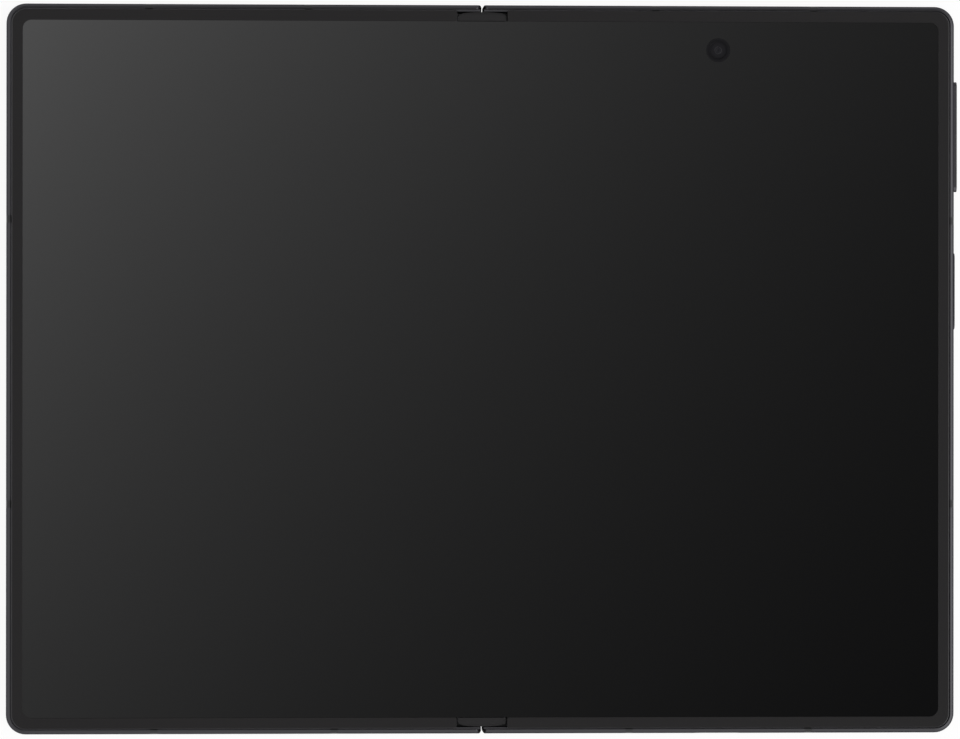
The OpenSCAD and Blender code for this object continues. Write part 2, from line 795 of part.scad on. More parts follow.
// Flat turns on the inside of the rear cover, joined by a lead across them
module charging_coil() {
  color(copper) at_back()
    translate([(bay_x + board_x1) / 2, right_battery_y + right_battery_l / 2, cover_t + 2 * tiny]) {
      for (i = [0 : coil_turns - 1]) linear_extrude(coil_t) difference() {
        circle(coil_in_r + coil_pitch * i + coil_wire, $fn = smooth);
        circle(coil_in_r + coil_pitch * i, $fn = smooth);
      }
      translate([coil_in_r + coil_wire / 3, -coil_wire / 2, coil_t])
        cube([coil_pitch * (coil_turns - 1) + coil_wire / 3, coil_wire, coil_t / 2]);
    }
}

// A sound box, l wide and h deep, that seats on an end rail's inner face and opens to it
module sound_box(x, l, h, z0) {
  mouth_h = 1.2;
  rim = 1;
  y1 = inner_y - speaker_seat;
  difference() {
    span([x - l / 2, y1 - h, z0], [x + l / 2, y1, cavity_top - roof_gap]);
    span([x - l / 2 + rim, y1 - rim, side_z - mouth_h / 2],
      [x + l / 2 - rim, y1 + over, side_z + mouth_h / 2]);
  }
}

module loudspeaker() {
  color(matt_black) at_back() mirror([0, 1, 0]) sound_box(speaker_x, speaker_l, speaker_h, cover_t + 0.2);
}

// Socket of a reversible charging plug: a rolled shell with its tongue
module usb_c_socket() {
  y0 = usb_recess - half_h;
  color(steel) at_back() translate([middle_x, 0, usb_z]) {
    difference() {
      along_fold(y0, y0 + usb_l) stadium(usb_w + 2 * usb_wall, usb_h + 2 * usb_wall);
      along_fold(y0 - over, y0 + usb_l - usb_back_t) stadium(usb_w, usb_h);
    }
    span([-tongue_w / 2, y0 + tongue_in, -tongue_t / 2],
      [tongue_w / 2, y0 + usb_l - usb_back_t / 2, tongue_t / 2]);
  }
}

// Backs
module back_plan() { half_plan(rail_lip_w + tiny, rim_x + tiny, corner_r - rail_lip_w - tiny); }

module each_lens() { for (i = [0 : 2]) translate([lens_x, lens_y - i * lens_pitch, 0]) children(); }

module rear_cover() {
  color(graphite) at_back() linear_extrude(cover_t) difference() {
    back_plan();
    each_lens() circle(lens_r, $fn = smooth);
    flash_place() circle(flash_r + tiny, $fn = fine);
  }
}

module flash_place() {
  translate([lens_x - island_w / 2 - flash_gap, lens_y, 0]) children();
}

module camera_island() {
  rim_r = lens_r + 0.9;
  rim_edge = 0.2;
  roll = 0.35;
  length = 2 * lens_pitch + island_w;
  color(graphite) at_back() difference() {
    union() {
      translate([lens_x, lens_y - lens_pitch, -island_h]) {
        translate([0, 0, roll]) linear_extrude(island_h - roll) rotate(90) stadium(length, island_w);
        linear_extrude(roll) rotate(90) stadium(length - 2 * roll, island_w - 2 * roll);
      }
      each_lens() rotate_extrude($fn = smooth) polygon([[0, deep - island_h], [0, -lift],
        [rim_r - rim_edge, -lift], [rim_r, rim_edge - lift], [rim_r, deep - island_h]]);
    }
    each_lens() translate([0, 0, -lift - over]) cylinder(r = lens_r, h = lift + 2 * over, $fn = smooth);
  }
}

module rear_lens_covers() {
  sunk = 0.12;
  glass_t = 0.5;
  color(screen_black) at_back() each_lens() translate([0, 0, sunk - lift])
    cylinder(r = lens_r - tiny, h = glass_t, $fn = smooth);
}

// A square module with a stepped barrel that ends in a recessed front lens
module rear_camera_modules() {
  body_z = cover_t + module_gap;
  barrel_r = lens_r - 0.5;
  front_z = -0.9;
  cone_r = [1.6, 2.2];
  color(matt_black) at_back() each_lens() {
    span([-module_w / 2, -module_w / 2, body_z], [module_w / 2, module_w / 2, cavity_top - roof_gap]);
    rotate_extrude($fn = smooth) polygon([[0, body_z + deep], [0, front_z + 0.6],
      [cone_r[0], front_z + 0.45], [cone_r[1], front_z + 0.1], [barrel_r, front_z],
      [barrel_r, body_z + deep]]);
  }
}

module flash_window() {
  die = 2.4;
  color([0.9, 0.88, 0.8]) at_back() flash_place() {
    cylinder(r = flash_r, h = cover_t, $fn = fine);
    translate([-die / 2, -die / 2, cover_t]) cube([die, die, 0.5]);
  }
}

module cover_glass() {
  color(screen_black) at_back() left() linear_extrude(cover_t) back_plan();
}

module cover_display_panel() {
  foot_clear = 2 * foot_gap + seat_rim;
  color(cell_black) at_back() left() difference() {
    span([block_x + deep, panel_gap - inner_y, cover_t],
      [inner_x - panel_gap, inner_y - panel_gap, cover_t + panel_t]);
    translate([middle_x, punch_y, 0]) cylinder(r = cover_camera_r + 0.7, h = bezel_top, $fn = fine);
    both_ends() foot_span(0, foot_end + foot_clear, 0, bezel_top, foot_clear);
  }
}

module cover_camera() {
  front_z = cover_t + tiny;
  neck_z = 1.6;
  color(matt_black) at_back() left() translate([middle_x, punch_y, 0]) {
    rotate_extrude($fn = fine) polygon([[0, front_z + 0.2], [0.5, front_z + 0.05], [cover_camera_r, front_z],
      [cover_camera_r, neck_z], [0, neck_z]]);
    span([-cover_house / 2, -cover_house / 2, neck_z - 2 * tiny],
      [cover_house / 2, cover_house / 2, cavity_top - roof_gap]);
  }
}

// Left half: boards, sound, motor and card reader
module sub_board() {
  x1 = middle_x - reader_half_slot - reader_side_t - sub_board_side;
  y = [sub_board_in - inner_y, left_battery_y - sub_board_gap];
  can_in = 2.5;
  color(board_green) at_back() left() {
    span([bay_x, y[0], board_z], [x1, y[1], board_z + board_t]);
    span([bay_x + can_in, y[0] + can_in, board_z + board_t], [x1 - can_in, y[1] - can_in,
      board_z + board_t + can_h]);
  }
}

module top_speaker() {
  color(matt_black) at_back() left() sound_box(top_speaker_x, top_speaker_l, top_speaker_h, panel_top);
}

module vibration_motor() {
  x1 = inner_x - motor_side;
  color(steel) at_back() left()
    span([x1 - motor_l, motor_in - inner_y, panel_top],
      [x1, left_battery_y - motor_gap, cavity_top - roof_gap]);
}

// The tray's face is cut from the rail, its plate has a pocket for the card
module card_tray() {
  color(graphite) at_back() left() difference() {
    union() {
      intersection() {
        rail_solid();
        translate([middle_x, 0, tray_z]) along_fold(-half_h - over, tray_face_t - half_h)
          stadium(tray_w, tray_h);
      }
      translate([middle_x, 0, tray_z]) span([-tray_plate_w / 2, tray_face_t - 2 * tiny - half_h, -tray_t / 2],
        [tray_plate_w / 2, tray_l - half_h, tray_t / 2]);
    }
    translate([middle_x, tray_l - half_h - rail_wall - card_l, tray_z + tray_t / 2 - card_t])
      span([-card_w / 2, 0, 0], [card_w / 2, card_l, over]);
    translate([middle_x + tray_w / 2 - eject_in, -half_h, tray_z]) rotate([90, 0, 0])
      cylinder(r = eject_r, h = 4 * tray_face_t, center = true, $fn = fine);
  }
}

// The reader is a flat case with a slot that guides the tray's plate
module card_reader() {
  half_w_out = reader_half_slot + reader_side_t;
  slot_h = tray_t + 2 * reader_gap;
  y = [0.2 - inner_y, tray_l - half_h + reader_gap];
  color(steel) at_back() left() translate([middle_x, 0, 0]) difference() {
    span([-half_w_out, y[0], panel_top], [half_w_out, y[1] + reader_back_t, cavity_top - roof_gap]);
    span([-reader_half_slot, y[0] - over, tray_z - slot_h / 2],
      [reader_half_slot, y[1], tray_z + slot_h / 2]);
  }
}

// Involute gear outline, tooth 0 centred on +X, or a gap there when phase is half a tooth
function involute(a) = tan(a) * 180 / PI - a;
function tooth_half(r) = 90 / gear_teeth - backlash_angle + involute(pressure_angle)
  - involute(acos(min(1, gear_base_r / max(r, gear_base_r))));
function gear_radii() = [gear_root_r, max(gear_base_r, gear_root_r + 0.01),
  gear_pitch_r, (gear_pitch_r + gear_tip_r) / 2, gear_tip_r];
function flank(side, centre) = [for (r = gear_radii()) r * [cos(centre + side * tooth_half(r)),
  sin(centre + side * tooth_half(r))]];
function reversed(list) = [for (i = [len(list) - 1 : -1 : 0]) list[i]];

module gear_outline(phase) {
  polygon([for (i = [0 : gear_teeth - 1]) let (c = (i + phase) * 360 / gear_teeth)
    each concat(flank(-1, c), reversed(flank(1, c)))]);
}

// A hinge arm: a foot that is screwed to the half, two fingers and the toothed wheel
module hinge_arm(phase) {
  difference() {
    translate([0, hinge_y, 0]) {
      span([foot_x, foot_y, arm_z], [foot_end, foot_y + foot_h, arm_z + arm_t]);
      for (f = [[gear_y, gear_w], [finger_y, finger_w], [outer_finger_y, finger_w]])
        span([axis_x, f[0], arm_z], [foot_x + deep, f[0] + f[1], arm_z + arm_t]);
      along_fold(gear_y, gear_y + gear_w) translate([axis_x, axis_h]) gear_outline(phase);
      for (y = [finger_y, outer_finger_y]) along_fold(y, y + finger_w)
        translate([axis_x, axis_h]) circle(boss_r, $fn = smooth);
    }
    along_fold(hinge_y, hinge_y + hinge_l) translate([axis_x, axis_h])
      circle(shaft_r + run_fit, $fn = fine);
    arm_screw_holes();
  }
}

module right_arm_top() { color(steel) at_back() hinge_arm(0.5); }
module right_arm_bottom() { color(steel) at_back() mirror([0, 1, 0]) hinge_arm(0.5); }
module left_arm_top() { color(steel) at_back() left() hinge_arm(0); }
module left_arm_bottom() { color(steel) at_back() left() mirror([0, 1, 0]) hinge_arm(0); }

// A screw with its shank pointing down and a cross recess in its flat head
module screw(l, r, head_r, head_h) {
  recess_w = 0.22;
  difference() {
    union() {
      translate([0, 0, -l]) cylinder(r = r, h = l + head_h / 2, $fn = fine);
      cylinder(r = head_r, h = head_h, $fn = fine);
    }
    for (a = [0, 90]) rotate(a) translate([0, 0, head_h])
      cube([1.3 * head_r, recess_w, head_h], center = true);
  }
}

module arm_screws() {
  both_ends() for (y = arm_screw_y) translate([arm_screw_x, hinge_y + y, arm_z + arm_t])
    screw(arm_t + 1, screw_r - tiny / 2, screw_head_r, screw_head_h);
}

module right_arm_screws() { color(steel) at_back() arm_screws(); }
module left_arm_screws() { color(steel) at_back() left() arm_screws(); }

// A support flap with its pin, whose ends turn in the frame's bosses
module flap() {
  pin_end = flap_h / 2 + flap_gap + flap_boss_l;
  span([bend_x - flap_l, -flap_h / 2, flap_top - flap_t], [bend_x, flap_h / 2, flap_top]);
  along_fold(-pin_end, pin_end) translate([bend_x, flap_axis_z]) circle(flap_pin_r, $fn = fine);
}

module right_flap() { color(steel) at_back() flap(); }
module left_flap() { color(steel) at_back() left() flap(); }

// Section of the spine: flat below, a quarter round about each fold axis, open above
module spine_section(r) {
  intersection() {
    union() {
      for (s = [-1, 1]) translate([s * axis_x, axis_h]) circle(r, $fn = smooth);
      translate([-axis_x, axis_h - r]) square([2 * axis_x, r]);
    }
    translate([-3 * axis_x, 0]) square([6 * axis_x, axis_h]);
  }
}

// The outer shell of the hinge: a trough with notches for the arms and the cables
module spine_cover() {
  reach = 3 * axis_x;
  arm_gap = 0.2;
  color(graphite) at_back() difference() {
    along_fold(-cap_in_y, cap_in_y) difference() {
      spine_section(spine_r);
      spine_section(spine_in_r);
    }
    both_ends() {
      span([-reach, hinge_y + gear_y - arm_gap, arm_z - foot_gap],
        [reach, hinge_y + outer_finger_y + finger_w + arm_gap, bezel_top]);
      cable_window(-reach, reach, bezel_top);
      for (y = spine_screw_y) translate([0, hinge_y + y, 0])
        cylinder(r = screw_r, h = bezel_top, $fn = fine);
    }
  }
}

// A hinge cap: an end wall that bows outwards and a face plate level with the screen
module hinge_cap() {
  wall_half_w = cap_half_w - 0.6;
  wall_top_z = cap_top - 0.15;
  bow_r = (pow(cap_half_w, 2) + pow(cap_bow, 2)) / (2 * cap_bow);
  plate_t = 0.3;
  plate_y = [active_y + tiny, cap_in_y + 0.25];
  corner = 0.5;
  intersection() {
    along_fold(cap_in_y, cap_y + over) {
      spine_section(spine_r);
      translate([-wall_half_w, axis_h - deep]) square([2 * wall_half_w, wall_top_z - axis_h + deep]);
    }
    translate([0, cap_y - bow_r, 0]) cylinder(r = bow_r, h = bezel_top, $fn = 4 * smooth);
  }
  translate([0, 0, cap_top - plate_t]) linear_extrude(plate_t) difference() {
    translate([-cap_half_w, plate_y[0]]) square([2 * cap_half_w, plate_y[1] - plate_y[0]]);
    for (s = [-1, 1]) translate([s * cap_half_w, plate_y[1]]) scale([-s, -1]) rounding(corner, fine);
  }
}

module hinge_cap_top() { color(matt_black) at_back() hinge_cap(); }
module hinge_cap_bottom() { color(matt_black) at_back() mirror([0, 1, 0]) hinge_cap(); }

// The base carries the shafts in three cheeks and is screwed to the spine cover
module hinge_base() {
  cheek_rise = 0.7;
  side_gap = 0.1;
  lightening_r = 0.5;
  difference() {
    translate([0, hinge_y, 0]) {
      span([side_gap - axis_x, side_gap, spine_floor],
        [axis_x - side_gap, hinge_l - side_gap, spine_floor + base_t]);
      for (c = [cheek_a, cheek_b, cheek_c]) along_fold(c, c + cheek_t) {
        translate([-axis_x, spine_floor]) square([2 * axis_x, axis_h - spine_floor + cheek_rise]);
        for (s = [-1, 1]) translate([s * axis_x, axis_h]) circle(cheek_r, $fn = smooth);
      }
    }
    for (s = [-1, 1]) {
      along_fold(hinge_y - over, hinge_y + hinge_l + over) translate([s * axis_x, axis_h])
        circle(shaft_r + run_fit, $fn = fine);
      along_fold(hinge_y - over, hinge_y + finger_y) translate([s * gear_pitch_r, axis_h])
        circle(idler_shaft_r + run_fit, $fn = fine);
    }
    for (y = spine_screw_y) translate([0, hinge_y + y, 0])
      cylinder(r = screw_r, h = bezel_top, $fn = fine);
    along_fold(hinge_y + cheek_c - over, hinge_y + hinge_l + over) translate([0, axis_h])
      circle(lightening_r, $fn = fine);
  }
}

module hinge_base_top() { color(steel) at_back() hinge_base(); }
module hinge_base_bottom() { color(steel) at_back() mirror([0, 1, 0]) hinge_base(); }

// A shaft from y0 to y1, with a collar just outside each end cheek
module shaft(r, y0, y1) {
  stub = collar_gap + collar_t + tiny;
  along_fold(y0 - stub, y1 + stub) circle(r, $fn = fine);
  for (y = [y0 - collar_gap - collar_t, y1 + collar_gap]) along_fold(y, y + collar_t)
    circle(r + collar_rim, $fn = fine);
}

module hinge_shafts() {
  color(steel) at_back() both_ends() translate([0, hinge_y, axis_h]) for (s = [-1, 1]) {
    translate([s * axis_x, 0, 0]) shaft(shaft_r, cheek_a, cheek_c + cheek_t);
    translate([s * gear_pitch_r, 0, 0]) shaft(idler_shaft_r, cheek_a, cheek_b + cheek_t);
  }
}

// Cupped disc springs, set in pairs that face each other
module friction_discs() {
  air = 0.02;
  in_r = shaft_r + run_fit;
  cup = disc_pitch - disc_t - 2 * air;
  color(steel) at_back() both_ends() for (s = [-1, 1], i = [0 : disc_count - 1]) {
    flip = i % 2;
    translate([s * axis_x, hinge_y + disc_y + disc_pitch * (i + flip) + air * (1 - 2 * flip), axis_h])
      rotate([-90 + 180 * flip, 0, 0]) rotate_extrude($fn = smooth)
        polygon([[in_r, cup], [boss_r, 0], [boss_r, disc_t], [in_r, cup + disc_t]]);
  }
}

module spine_screws() {
  color(steel) at_back() both_ends() for (y = spine_screw_y)
    translate([0, hinge_y + y, spine_floor + base_t])
      screw(base_t + spine_wall - tiny, screw_r - tiny / 2, screw_head_r - 0.15, screw_head_h - tiny);
}

module idler_gears(s, phase) {
  both_ends() translate([s * gear_pitch_r, hinge_y, axis_h]) along_fold(gear_y, gear_y + gear_w)
    difference() {
      gear_outline(phase);
      circle(idler_shaft_r + run_fit, $fn = fine);
    }
}

module idler_gears_right() { color(steel) at_back() idler_gears(1, 0); }
module idler_gears_left() { color(steel) at_back() idler_gears(-1, 0.5); }

// Two flat cables that carry the signals over the fold, each end at a battery or a board
module fold_flex_cables() {
  color(copper) at_back() for (s = [-1, 1]) translate([0, s * cable_y, cable_z])
    span([-cable_end, -cable_w / 2, 0], [cable_end, cable_w / 2, cable_t]);
}

right_frame();
right_antenna_bands();
right_bezel();
screen_right();
right_screen_plate();
inner_camera();
volume_key();
power_key();
key_switches();
main_board();
shield_cans();
right_battery();
charging_coil();
loudspeaker();
usb_c_socket();
rear_cover();
camera_island();
rear_lens_covers();
rear_camera_modules();
flash_window();
right_arm_top();
right_arm_bottom();
right_arm_screws();
right_flap();
left_frame();
left_antenna_bands();
left_bezel();
screen_left();
left_screen_plate();
cover_glass();
cover_display_panel();
cover_camera();
left_battery();
sub_board();
top_speaker();
vibration_motor();
card_tray();
card_reader();
left_arm_top();
left_arm_bottom();
left_arm_screws();
left_flap();
spine_cover();
hinge_cap_top();
hinge_cap_bottom();
hinge_base_top();
hinge_base_bottom();
hinge_shafts();
friction_discs();
spine_screws();
idler_gears_right();
idler_gears_left();
screen_fold();
fold_flex_cables();
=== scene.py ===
"""Looks of a book-style folding phone that lies open and flat, seen from straight above.

Lengths in the code are metres. A value written as 4.5 * MM is 4.5 millimetres.
"""
import json
import math

import bmesh
import bpy
from mathutils import Euler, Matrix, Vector


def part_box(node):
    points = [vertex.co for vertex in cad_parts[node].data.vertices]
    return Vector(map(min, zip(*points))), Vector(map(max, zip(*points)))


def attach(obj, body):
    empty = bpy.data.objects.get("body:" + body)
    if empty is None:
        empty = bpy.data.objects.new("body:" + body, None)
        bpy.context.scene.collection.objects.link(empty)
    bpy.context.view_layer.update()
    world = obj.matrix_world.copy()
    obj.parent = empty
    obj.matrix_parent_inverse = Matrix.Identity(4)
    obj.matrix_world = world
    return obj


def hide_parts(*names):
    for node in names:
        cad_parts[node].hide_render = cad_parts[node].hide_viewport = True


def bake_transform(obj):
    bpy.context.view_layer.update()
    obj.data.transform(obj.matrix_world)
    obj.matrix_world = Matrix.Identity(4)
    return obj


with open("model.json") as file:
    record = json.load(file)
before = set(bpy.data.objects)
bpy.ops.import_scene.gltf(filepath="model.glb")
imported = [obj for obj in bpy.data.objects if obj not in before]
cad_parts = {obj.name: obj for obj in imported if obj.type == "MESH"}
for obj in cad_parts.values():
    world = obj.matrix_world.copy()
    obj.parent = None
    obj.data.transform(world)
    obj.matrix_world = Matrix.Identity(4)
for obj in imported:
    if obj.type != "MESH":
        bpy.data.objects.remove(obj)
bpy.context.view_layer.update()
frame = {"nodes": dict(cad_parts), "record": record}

MM = 0.001
SCREEN_LOW, SCREEN_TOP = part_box("screen_fold")[0].z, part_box("screen_fold")[1].z
FOLD_SCREEN_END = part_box("screen_fold")[1].y
SCREEN_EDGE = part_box("screen_right")[1]
BEZEL_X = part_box("right_bezel")[0].x
HALF_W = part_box("right_frame")[1].x
HALF_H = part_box("right_frame")[1].y
BACK_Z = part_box("cover_glass")[0].z
COVER_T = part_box("cover_glass")[1].z - BACK_Z
MIDDLE_X = 40.2 * MM         # of the inner camera, the charging port and the top microphone
CAMERA_Y = 54.4 * MM         # of the inner camera and the cover camera
PUNCH_R = 2.03 * MM          # of the screen's hole over the inner camera
LENS_R = 4.65 * MM           # of the rear lens covers
LENS_PITCH = 14 * MM
LENS_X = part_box("rear_lens_covers")[0].x + LENS_R
LENS_Y = [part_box("rear_lens_covers")[1].y - LENS_R - i * LENS_PITCH for i in range(3)]
SOCKET_Z = (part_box("usb_c_socket")[0].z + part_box("usb_c_socket")[1].z) / 2


# ---------------------------------------------------------------- camera

def add_camera():
    """Looks down from a little left of the middle, as the photograph does."""
    distance = 0.85
    look_at = Vector((-0.2745, -0.037, 3.85)) * MM
    turn = Euler([math.radians(a) for a in (0.11598, -2.44389, 0.04172)])
    camera = bpy.data.objects.new("camera", bpy.data.cameras.new("camera"))
    camera.data.sensor_width = 36
    camera.data.lens = 186.98
    camera.data.clip_start = 0.01
    camera.rotation_euler = turn
    camera.location = look_at + turn.to_matrix() @ Vector((0, 0, distance))
    bpy.context.scene.collection.objects.link(camera)
    bpy.context.scene.camera = camera


add_camera()
bpy.context.scene.view_settings.view_transform = "Standard"


# ---------------------------------------------------------------- shader maths

class Wire:
    """An output of a node. Sums on it add Math nodes to the same tree."""

    def __init__(self, tree, socket):
        self.tree = tree
        self.socket = socket

    def maths(self, operation, *values):
        inputs = dict(enumerate(values))
        return self.tree.node("ShaderNodeMath", {"operation": operation}, inputs)

    def __add__(self, other): return self.maths("ADD", self, other)
    def __radd__(self, other): return self.maths("ADD", other, self)
    def __sub__(self, other): return self.maths("SUBTRACT", self, other)
    def __rsub__(self, other): return self.maths("SUBTRACT", other, self)
    def __mul__(self, other): return self.maths("MULTIPLY", self, other)
    def __rmul__(self, other): return self.maths("MULTIPLY", other, self)
    def __truediv__(self, other): return self.maths("DIVIDE", self, other)
    def __rtruediv__(self, other): return self.maths("DIVIDE", other, self)
    def __pow__(self, other): return self.maths("POWER", self, other)
    def __rpow__(self, other): return self.maths("POWER", other, self)
    def __abs__(self): return self.maths("ABSOLUTE", self)
    def __mod__(self, other): return self.maths("FLOORED_MODULO", self, other)
    def __gt__(self, other): return self.maths("GREATER_THAN", self, other)
    def __lt__(self, other): return self.maths("LESS_THAN", self, other)
    def __or__(self, other): return self.maths("MAXIMUM", self, other)
    def __and__(self, other): return self.maths("MINIMUM", self, other)

    def root(self): return self.maths("SQRT", self)
    def sine(self): return self.maths("SINE", self)

    def out(self, name):
        """Another output of the same node."""
        return Wire(self.tree, self.socket.node.outputs[name])

    def rise(self, low, high):
        """0 below low, 1 above high, smooth between them; falls where low is the larger."""
        limits = {"Value": self, "From Min": low, "From Max": high}
        return self.tree.node("ShaderNodeMapRange", {"interpolation_type": "SMOOTHSTEP"}, limits)


class Tree:
    """The nodes of a material or of the world."""

    def __init__(self, owner):
        owner.use_nodes = True
        self.nodes = owner.node_tree.nodes
        self.links = owner.node_tree.links

    def node(self, kind, settings=None, inputs=None):
        """Adds a node, sets it, and puts values or wires in its sockets; gives its first output."""
        made = self.nodes.new(kind)
        for name, value in (settings or {}).items():
            setattr(made, name, value)
        for name, value in (inputs or {}).items():
            self.plug(made.inputs[name], value)
        return Wire(self, next(socket for socket in made.outputs if socket.enabled))

    def plug(self, socket, value):
        """Links a wire to a socket, or sets the socket's value."""
        if isinstance(value, Wire):
            self.links.new(value.socket, socket)
        else:
            socket.default_value = value

    def mix(self, low, high, share):
        """Mixes two colours."""
        low, high = [c if isinstance(c, Wire) else (*c, 1) for c in (low, high)]
        settings = {"data_type": "RGBA", "clamp_factor": True}
        return self.node("ShaderNodeMix", settings, {0: share, 6: low, 7: high})

    def axes(self, vector):
        """The three components of a vector."""
        split = self.node("ShaderNodeSeparateXYZ", None, {"Vector": vector})
        return split, split.out("Y"), split.out("Z")


class Finish(Tree):
    """A material. Constants sit on the shader's own sockets, and maps are fed to it."""

    def __init__(self, name, **constants):
        self.material = bpy.data.materials.new(name)
        super().__init__(self.material)
        self.shader = self.nodes["Principled BSDF"]
        for socket, value in constants.items():
            self.shader.inputs[socket.replace("_", " ")].default_value = value
        self.place = self.node("ShaderNodeTexCoord").out("Object")
        self.x, self.y, self.z = self.axes(self.place)

    def feed(self, **maps):
        """Plugs varying values into the shader."""
        for socket, wire in maps.items():
            self.plug(self.shader.inputs[socket.replace("_", " ")], wire)
        return self

    def speckle(self, size, detail=2, stretch=(1, 1, 1), seed=0):
        """Noise whose lumps are about size across, stretched along an axis where asked."""
        scale = {"Vector": self.place, "Scale": stretch, "Location": (seed, seed, seed)}
        placed = self.node("ShaderNodeMapping", None, scale)
        inputs = {"Vector": placed, "Scale": 1 / size, "Detail": detail}
        return self.node("ShaderNodeTexNoise", None, inputs)

    def cells(self, size):
        """Distance from the middle of the nearest cell, in cells that are about size across."""
        return self.node("ShaderNodeTexVoronoi", None, {"Vector": self.place, "Scale": 1 / size})

    def bump(self, height, depth):
        """Raises the surface by depth metres where height is 1."""
        inputs = {"Height": height, "Distance": depth, "Strength": 1}
        return self.feed(Normal=self.node("ShaderNodeBump", None, inputs))

    def facing(self):
        """The three components of the direction that the surface faces."""
        return self.axes(self.node("ShaderNodeTexCoord").out("Normal"))

    def from_lens(self):
        """Distance from the middle line of the nearest camera."""
        along = ((self.y - LENS_Y[1]) / LENS_PITCH + 0.5) % 1 - 0.5
        dx, dy = self.x - LENS_X, along * LENS_PITCH
        rear = (dx * dx + dy * dy).root()
        return rear & self.near(MIDDLE_X, CAMERA_Y) & self.near(-MIDDLE_X, CAMERA_Y)

    def near(self, x, y):
        """Distance from the upright line through (x, y)."""
        dx, dy = self.x - x, self.y - y
        return (dx * dx + dy * dy).root()

    def round_box(self, x0, x1, y0, y1, r):
        """Distance from a rectangle with corner radius r: below zero inside it."""
        dx = abs(self.x - (x0 + x1) / 2) - ((x1 - x0) / 2 - r)
        dy = abs(self.y - (y0 + y1) / 2) - ((y1 - y0) / 2 - r)
        outside = ((dx | 0) * (dx | 0) + (dy | 0) * (dy | 0)).root()
        return outside + ((dx | dy) & 0) - r


# ---------------------------------------------------------------- light and floor

def light_world():
    """A white room, with a lamp overhead that fades to the lower right and a glow from that side."""
    wall = 0.96
    lamp_level, lamp_limit = 0.665, 2.2
    fade_down, fade_right = 7.474, 9.29
    glow_level = 1.05
    world = bpy.data.worlds.new("studio")
    bpy.context.scene.world = world
    tree = Tree(world)
    background = tree.nodes["Background"]
    x, y, z = tree.axes(tree.node("ShaderNodeTexCoord").out("Generated"))
    up = z | 0.05
    across, along = x / up, y / up      # slopes away from straight up, where the lamp is
    lamp = (math.e ** (along * fade_down - across * fade_right) * lamp_level) & lamp_limit
    overhead = (across * across + along * along).root().rise(0.34, 0.16)
    ceiling = 0.3 + 0.85 * x * x - 0.08 * y
    glow = (0.71 * x - 0.475 * y + 0.52 * z).rise(0.45, 1) * glow_level
    room = wall + z.rise(0.1, 0.42) * (ceiling - wall) + glow
    tree.plug(background.inputs["Color"], (1, 1, 1, 1))
    tree.plug(background.inputs["Strength"], room + overhead * (lamp - room))


def add_floor():
    """A pale floor, tilted so that the phone rests on its camera island and its left rail."""
    span = 3.0
    whiteness = 0.897
    rest_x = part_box("rear_lens_covers")[0].x - 5 * MM      # beside the camera island
    rail_x = HALF_W - 1 * MM                                # under the left rail
    tilt = math.atan2(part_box("left_frame")[0].z, rail_x + rest_x)
    mesh = bpy.data.meshes.new("floor")
    corners = [(-span, -span), (span, -span), (span, span), (-span, span)]
    heights = [-math.tan(tilt) * (x - rest_x) for x, y in corners]
    points = [(x, y, h) for (x, y), h in zip(corners, heights)]
    mesh.from_pydata(points, [], [(0, 1, 2, 3)])
    floor = bpy.data.objects.new("floor", mesh)
    bpy.context.scene.collection.objects.link(floor)
    paint = Finish("pale_floor", Roughness=0.9, Specular_IOR_Level=0.1)
    grain = paint.speckle(4 * MM, 3)
    paint.feed(Base_Color=paint.mix((0.12, 0.12, 0.12), (0.13, 0.13, 0.13), grain))
    path = paint.node("ShaderNodeLightPath")
    seen = path.out("Is Camera Ray") | path.out("Is Glossy Ray") | path.out("Is Transmission Ray")
    glow = paint.node("ShaderNodeEmission", None, {"Color": (1, 1, 1, 1), "Strength": seen * whiteness})
    both = paint.node("ShaderNodeAddShader", None, {0: glow, 1: Wire(paint, paint.shader.outputs[0])})
    paint.plug(paint.nodes["Material Output"].inputs["Surface"], both)
    mesh.materials.append(paint.material)


light_world()
add_floor()


# ---------------------------------------------------------------- finishes

def scaled(colour, share):
    """A lighter or darker colour."""
    return [c * share for c in colour]


def anodised(name, colour, roughness=0.34, painted_light_share=0.0):
    """Bead-blasted and anodised metal. The last argument sets how strongly its sides get painted shade and
    its upward faces a painted highlight.
    """
    finish = Finish(name, Metallic=1, Specular_Tint=(0.35, 0.35, 0.37, 1))
    grain = finish.speckle(0.09 * MM, 2)
    cloud = finish.speckle(14 * MM, 3, seed=3)
    shade = finish.mix(scaled(colour, 0.9), scaled(colour, 1.12), 0.7 * cloud + 0.3 * grain)
    # Painted light: faces tilted away from up get painted shade, and faces that look up get a painted
    # highlight.
    faces_up = abs(finish.facing()[2]).rise(0.25, 0.98)
    dull = finish.mix(shade, scaled(colour, 1 - 0.55 * painted_light_share), painted_light_share * (1 - faces_up))
    finish.feed(
        Base_Color=finish.mix(dull, scaled(colour, 1 + 0.1 * painted_light_share), painted_light_share * faces_up),
        Roughness=roughness - 0.04 + 0.05 * grain + 0.04 * cloud)
    return finish.bump(grain, 1.2e-6)


def brushed_spine():
    """Anodised shell of the hinge, brushed along the fold."""
    finish = Finish("spine_metal", Metallic=1, Specular_Tint=(0.5, 0.5, 0.52, 1))
    brush = finish.speckle(0.05 * MM, 3, stretch=(1, 0.02, 1))
    cloud = finish.speckle(12 * MM, 2, seed=4)
    finish.feed(
        Base_Color=finish.mix((0.05, 0.05, 0.054), (0.078, 0.078, 0.084), 0.6 * brush + 0.4 * cloud),
        Roughness=0.24 + 0.14 * brush)
    return finish.bump(brush, 1.5e-6)


def moulded(name, colour, roughness, level=0.3):
    """Matt moulded plastic with a fine etched grain."""
    finish = Finish(name, Specular_IOR_Level=level)
    grain = finish.cells(0.12 * MM)
    cloud = finish.speckle(9 * MM, 3)
    finish.feed(
        Base_Color=finish.mix(scaled(colour, 0.93), scaled(colour, 1.09), cloud),
        Roughness=roughness + 0.08 * cloud - 0.05 * grain)
    return finish.bump(grain, 2e-6)


